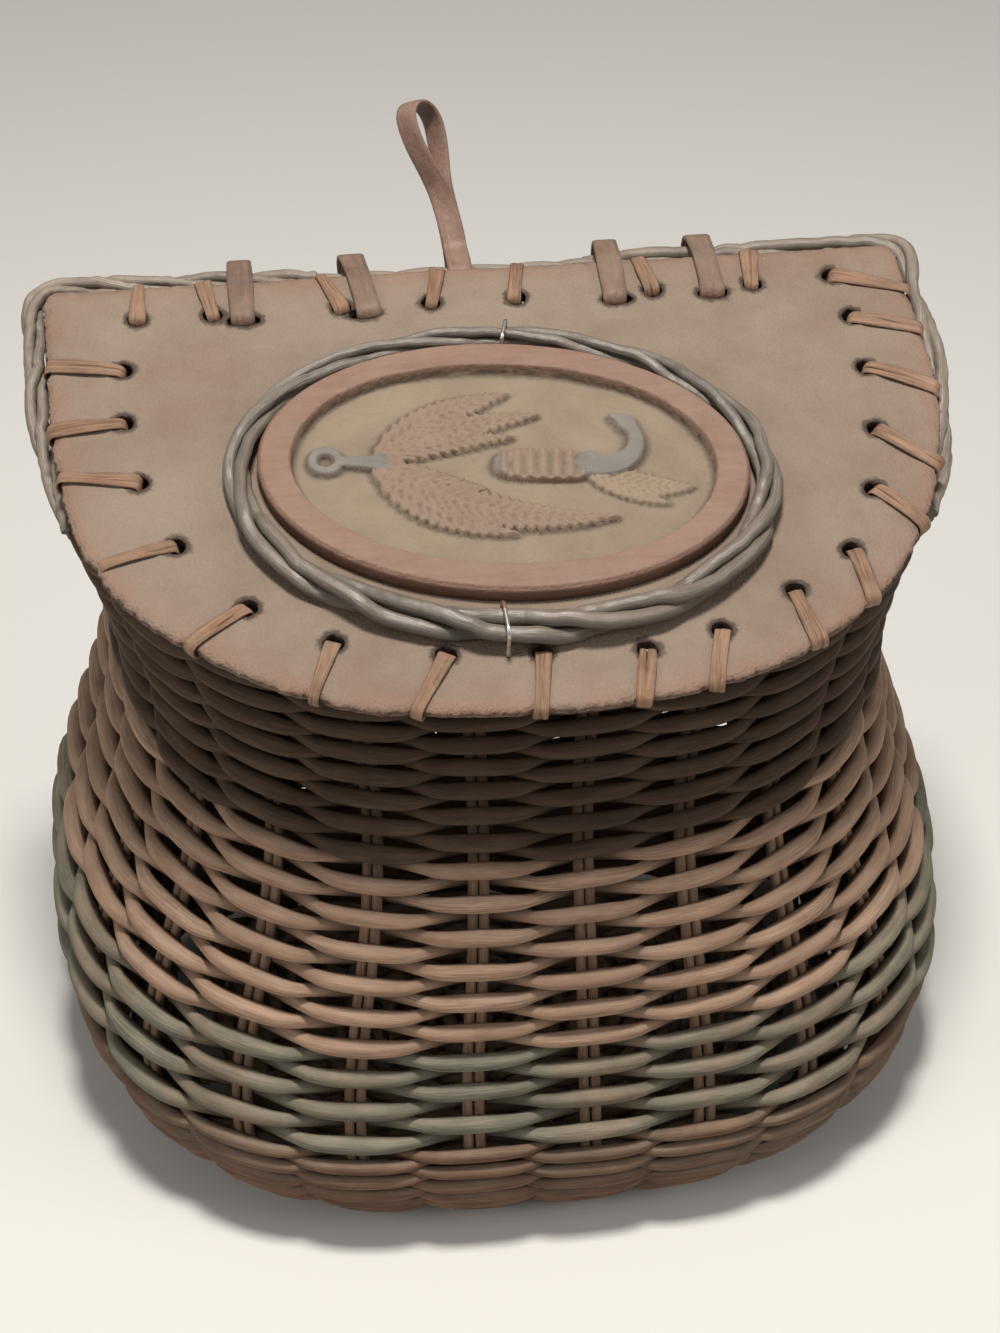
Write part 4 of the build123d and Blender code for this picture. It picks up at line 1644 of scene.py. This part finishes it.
turned = np.array(
    [[cos(medallion_turn), sin(medallion_turn)], [-sin(medallion_turn), cos(medallion_turn)]]
)


def on_board(flat, lift):
    """Points of the medallion's own plane, with their height above the lid."""
    return on_lid(medallion_middle + flat @ turned, panel_top / MM + lift)


side_heights = (2.6, 0.2)
outer = flat_rows[-1]
points = [on_board(np.array([[0.0, 0.0]]), board[:across_count].mean()), on_board(spots, board)]
points += [
    on_board(outer * (1 + 0.002 * carved[-across_count:, None]), height) for height in side_heights
]
points.append(on_board(np.array([[0.0, 0.0]]), side_heights[-1]))
points = np.vstack(points)
faces = []
ring_count = radial_count + len(side_heights)
for i in range(across_count):
    j = (i + 1) % across_count
    faces.append((0, 1 + i, 1 + j))
    for row in range(ring_count - 1):
        inner, outer_row = 1 + row * across_count, 1 + (row + 1) * across_count
        faces.append((inner + i, outer_row + i, outer_row + j, inner + j))
    under = 1 + (ring_count - 1) * across_count
    faces.append((len(points) - 1, under + j, under + i))


def all_round(values, centre, side):
    """A mask for every vertex, from its values on the carved face."""
    sides = np.full(across_count * len(side_heights), side)
    return np.concatenate([[centre], values, sides, [side]])


# %% Paint of the medallion
carved_wood, tree, shader = new_material("carved wood", 0.75)
here = add_node(tree, "ShaderNodeTexCoord").outputs["Object"]
patches = use_group(tree, mottle, Patch_scale=30.0, Speck_scale=600.0)
mask = {
    name: add_node(tree, "ShaderNodeAttribute", attribute_name=name).outputs["Fac"]
    for name in ("border", "metal", "feathers", "tail", "low")
}
grain_at = vector_calc("MULTIPLY", here, (45.0, 380.0, 380.0))
grain = noise_at(tree, grain_at, 1.0, 4.0, 0.65, 0.6)
ground_paint = blend_colours(tree, patches["Patches"], (0.15, 0.108, 0.07), (0.2, 0.15, 0.1))
border_paint = blend_colours(
    tree, ramp(tree, grain, 0.35, 0.7), (0.16, 0.082, 0.057), (0.195, 0.106, 0.075)
)
worn_border = ramp(tree, noise_at(tree, here, 45.0, 5.0, 0.65), 0.5, 0.72)
border_paint = blend_colours(tree, worn_border * 0.55, border_paint, (0.15, 0.11, 0.08))
body = blend_colours(tree, mask["border"], ground_paint, border_paint)
body = blend_colours(tree, mask["feathers"], body, (0.185, 0.118, 0.082))
body = blend_colours(tree, mask["tail"], body, (0.21, 0.15, 0.1))
metal_paint = blend_colours(tree, patches["Patches"], (0.095, 0.092, 0.086), (0.165, 0.15, 0.13))
body = blend_colours(tree, mask["metal"], body, metal_paint)
# painted shade in the hollows beside raised parts
body = blend_colours(tree, mask["low"] * 0.75, body, (0.045, 0.028, 0.018))
lint = use_group(tree, dust, Amount=0.3)
body = blend_colours(tree, lint["Mask"], body, (0.25, 0.2, 0.148))
tree.links.new(body, shader.inputs["Base Color"])
relief_height = grain + patches["Specks"] * 0.5
bump(tree, shader, relief_height, 0.6, 0.0005)

medallion = mesh_object("carved_medallion", points, faces, carved_wood)
# painted shade gathers beside whatever stands up: where the ground is low next to something high
field = board.reshape(radial_count, across_count)
smooth_field = field.copy()
for _ in range(10):
    smooth_field[1:-1] = (smooth_field[:-2] + 2 * smooth_field[1:-1] + smooth_field[2:]) / 4
    smooth_field = (
        np.roll(smooth_field, 1, 1) + 2 * smooth_field + np.roll(smooth_field, -1, 1)
    ) / 4
hollow_shade_mask = eased((smooth_field - field).ravel(), 0.03, 0.5)
for mask_name, values in (
    ("border", border_mask), ("metal", metal_mask),
    ("feathers", feather_mask), ("tail", tail_mask), ("low", hollow_shade_mask)
):
    paint_points(
        medallion, mask_name, all_round(values, 0.0, 1.0 if mask_name == "border" else 0.0)
    )
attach(medallion, "lid")
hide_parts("medallion")
print("medallion", len(medallion.data.polygons), "faces")

# %% [markdown]
# ## Wicker ring and its staples
# A twist of thin grey rods lies round the medallion and two wire staples pin it to the hide.

# %% Ring and staples
ring_middle = np.array([-3.0, panel_back - 86.5])
ring_half_length, ring_half_depth = 74.0, 56.0
ring_lift = panel_top / MM + 4.9
ring_steps = np.linspace(0, 2 * pi, 401)[:-1]
ring_flat = np.stack(
    [ring_half_length * np.cos(ring_steps), ring_half_depth * np.sin(ring_steps)], -1
)
ring_flat += 0.6 * np.stack(
    [noise_along(ring_flat, 0.03, 2.0), noise_along(ring_flat, 0.03, 6.0)], -1
)
# at the back it is thinner, so it lies lower and closer to the medallion
ring_back = (0.5 + 0.5 * np.sin(ring_steps)) ** 2
ring_flat[:, 1] -= 1.8 * ring_back
ring_path = guide(
    "ring path", [
        on_lid(ring_middle + ring_flat @ turned, ring_lift - 1.6 * ring_back)
    ], closed=True
)
ring = grow(
    twist_tree,
    ring_path,
    "twisted_ring",
    {
        "Strands": 3,
        "Turns": 4.0,
        "Winding radius": 0.0028,
        "Rod radius": 0.00235,
        "Looseness": 0.35,
        "Thinner back": 0.36,
        "Seed": 7.0,
        "Material": ring_rods,
    },
)
bpy.data.objects.remove(ring_path)
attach(ring, "lid")
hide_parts("wicker_ring")

steel, tree, shader = new_material("staple wire", 0.38)
shader.inputs["Metallic"].default_value = 1.0
patches = use_group(tree, mottle, Patch_scale=220.0, Speck_scale=1400.0)
rusty = ramp(tree, patches["Patches"], 0.5, 0.9)
tree.links.new(
    blend_colours(tree, rusty, (0.62, 0.60, 0.57), (0.22, 0.13, 0.08)), shader.inputs["Base Color"]
)
tree.links.new(rusty * 0.35 + 0.32, shader.inputs["Roughness"])
staple_wire = 1.2
leg_out, crown = 5.8, 10.0
staple_profile = rounded_by(even_steps(np.array([
    (-leg_out, 0.3), (-leg_out, crown - 1.5), (-leg_out + 1.3, crown),
    (leg_out - 1.3, crown), (leg_out, crown - 1.5), (leg_out, 0.3),
]), 41, closed=False), 0)
staple_strips = []
# each staple: place along the ring's depth, lean and size
for place, lean, size in ((ring_half_depth - 1.8, 0.1, 0.67), (-ring_half_depth, -0.15, 1.0)):
    flat = np.stack([lean * staple_profile[:, 0], place + size * staple_profile[:, 0]], -1)
    path = on_lid(ring_middle + flat @ turned, panel_top / MM + size * staple_profile[:, 1])
    staple_strips.append(
        sweep_strip(
            path, (1, 0, 0), staple_wire * MM, staple_wire * MM,
            closed=False, section=10, squareness=0.8
        )
    )
staples = strips_object("wire_staples", staple_strips, steel)
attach(staples, "lid")
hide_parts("staples")

# %% [markdown]
# ## Floor and light
# A pale floor, a large soft lamp from the upper left and a pale surround.

# %% Floor and lamps
floor = mesh_object("floor", [(-4, -4, 0), (4, -4, 0), (4, 4, 0), (-4, 4, 0)], [(0, 1, 2, 3)])
paper, tree, shader = new_material("pale floor", 0.9)
shader.inputs["Base Color"].default_value = (0.6, 0.59, 0.57, 1)
floor.data.materials.append(paper)

world = bpy.data.worlds.new("studio")
bpy.context.scene.world = world
world.use_nodes = True
surround = world.node_tree.nodes["Background"]
surround.inputs["Color"].default_value = (1.0, 0.98, 0.96, 1)
surround.inputs["Strength"].default_value = 0.23


def lamp(name, place, target, size, power, colour):
    """A square soft lamp that faces a target."""
    data = bpy.data.lights.new(name, "AREA")
    data.size = size
    data.energy = power
    data.color = colour
    made = bpy.data.objects.new(name, data)
    bpy.context.scene.collection.objects.link(made)
    way = Vector(target) - Vector(place)
    made.matrix_world = Matrix.Translation(place) @ way.to_track_quat("-Z", "Y").to_matrix().to_4x4()


middle = (0, 0, 0.12)
lamp("overhead", (-0.04, -0.2, 1.5), middle, 0.24, 25, (1.0, 0.96, 0.9))
lamp("left fill", (-1.3, -0.8, 0.9), middle, 0.8, 7.5, (1.0, 0.98, 0.95))
lamp("right fill", (1.3, -0.8, 0.9), middle, 0.8, 7.5, (1.0, 0.98, 0.95))
bpy.context.scene.view_settings.view_transform = "Standard"
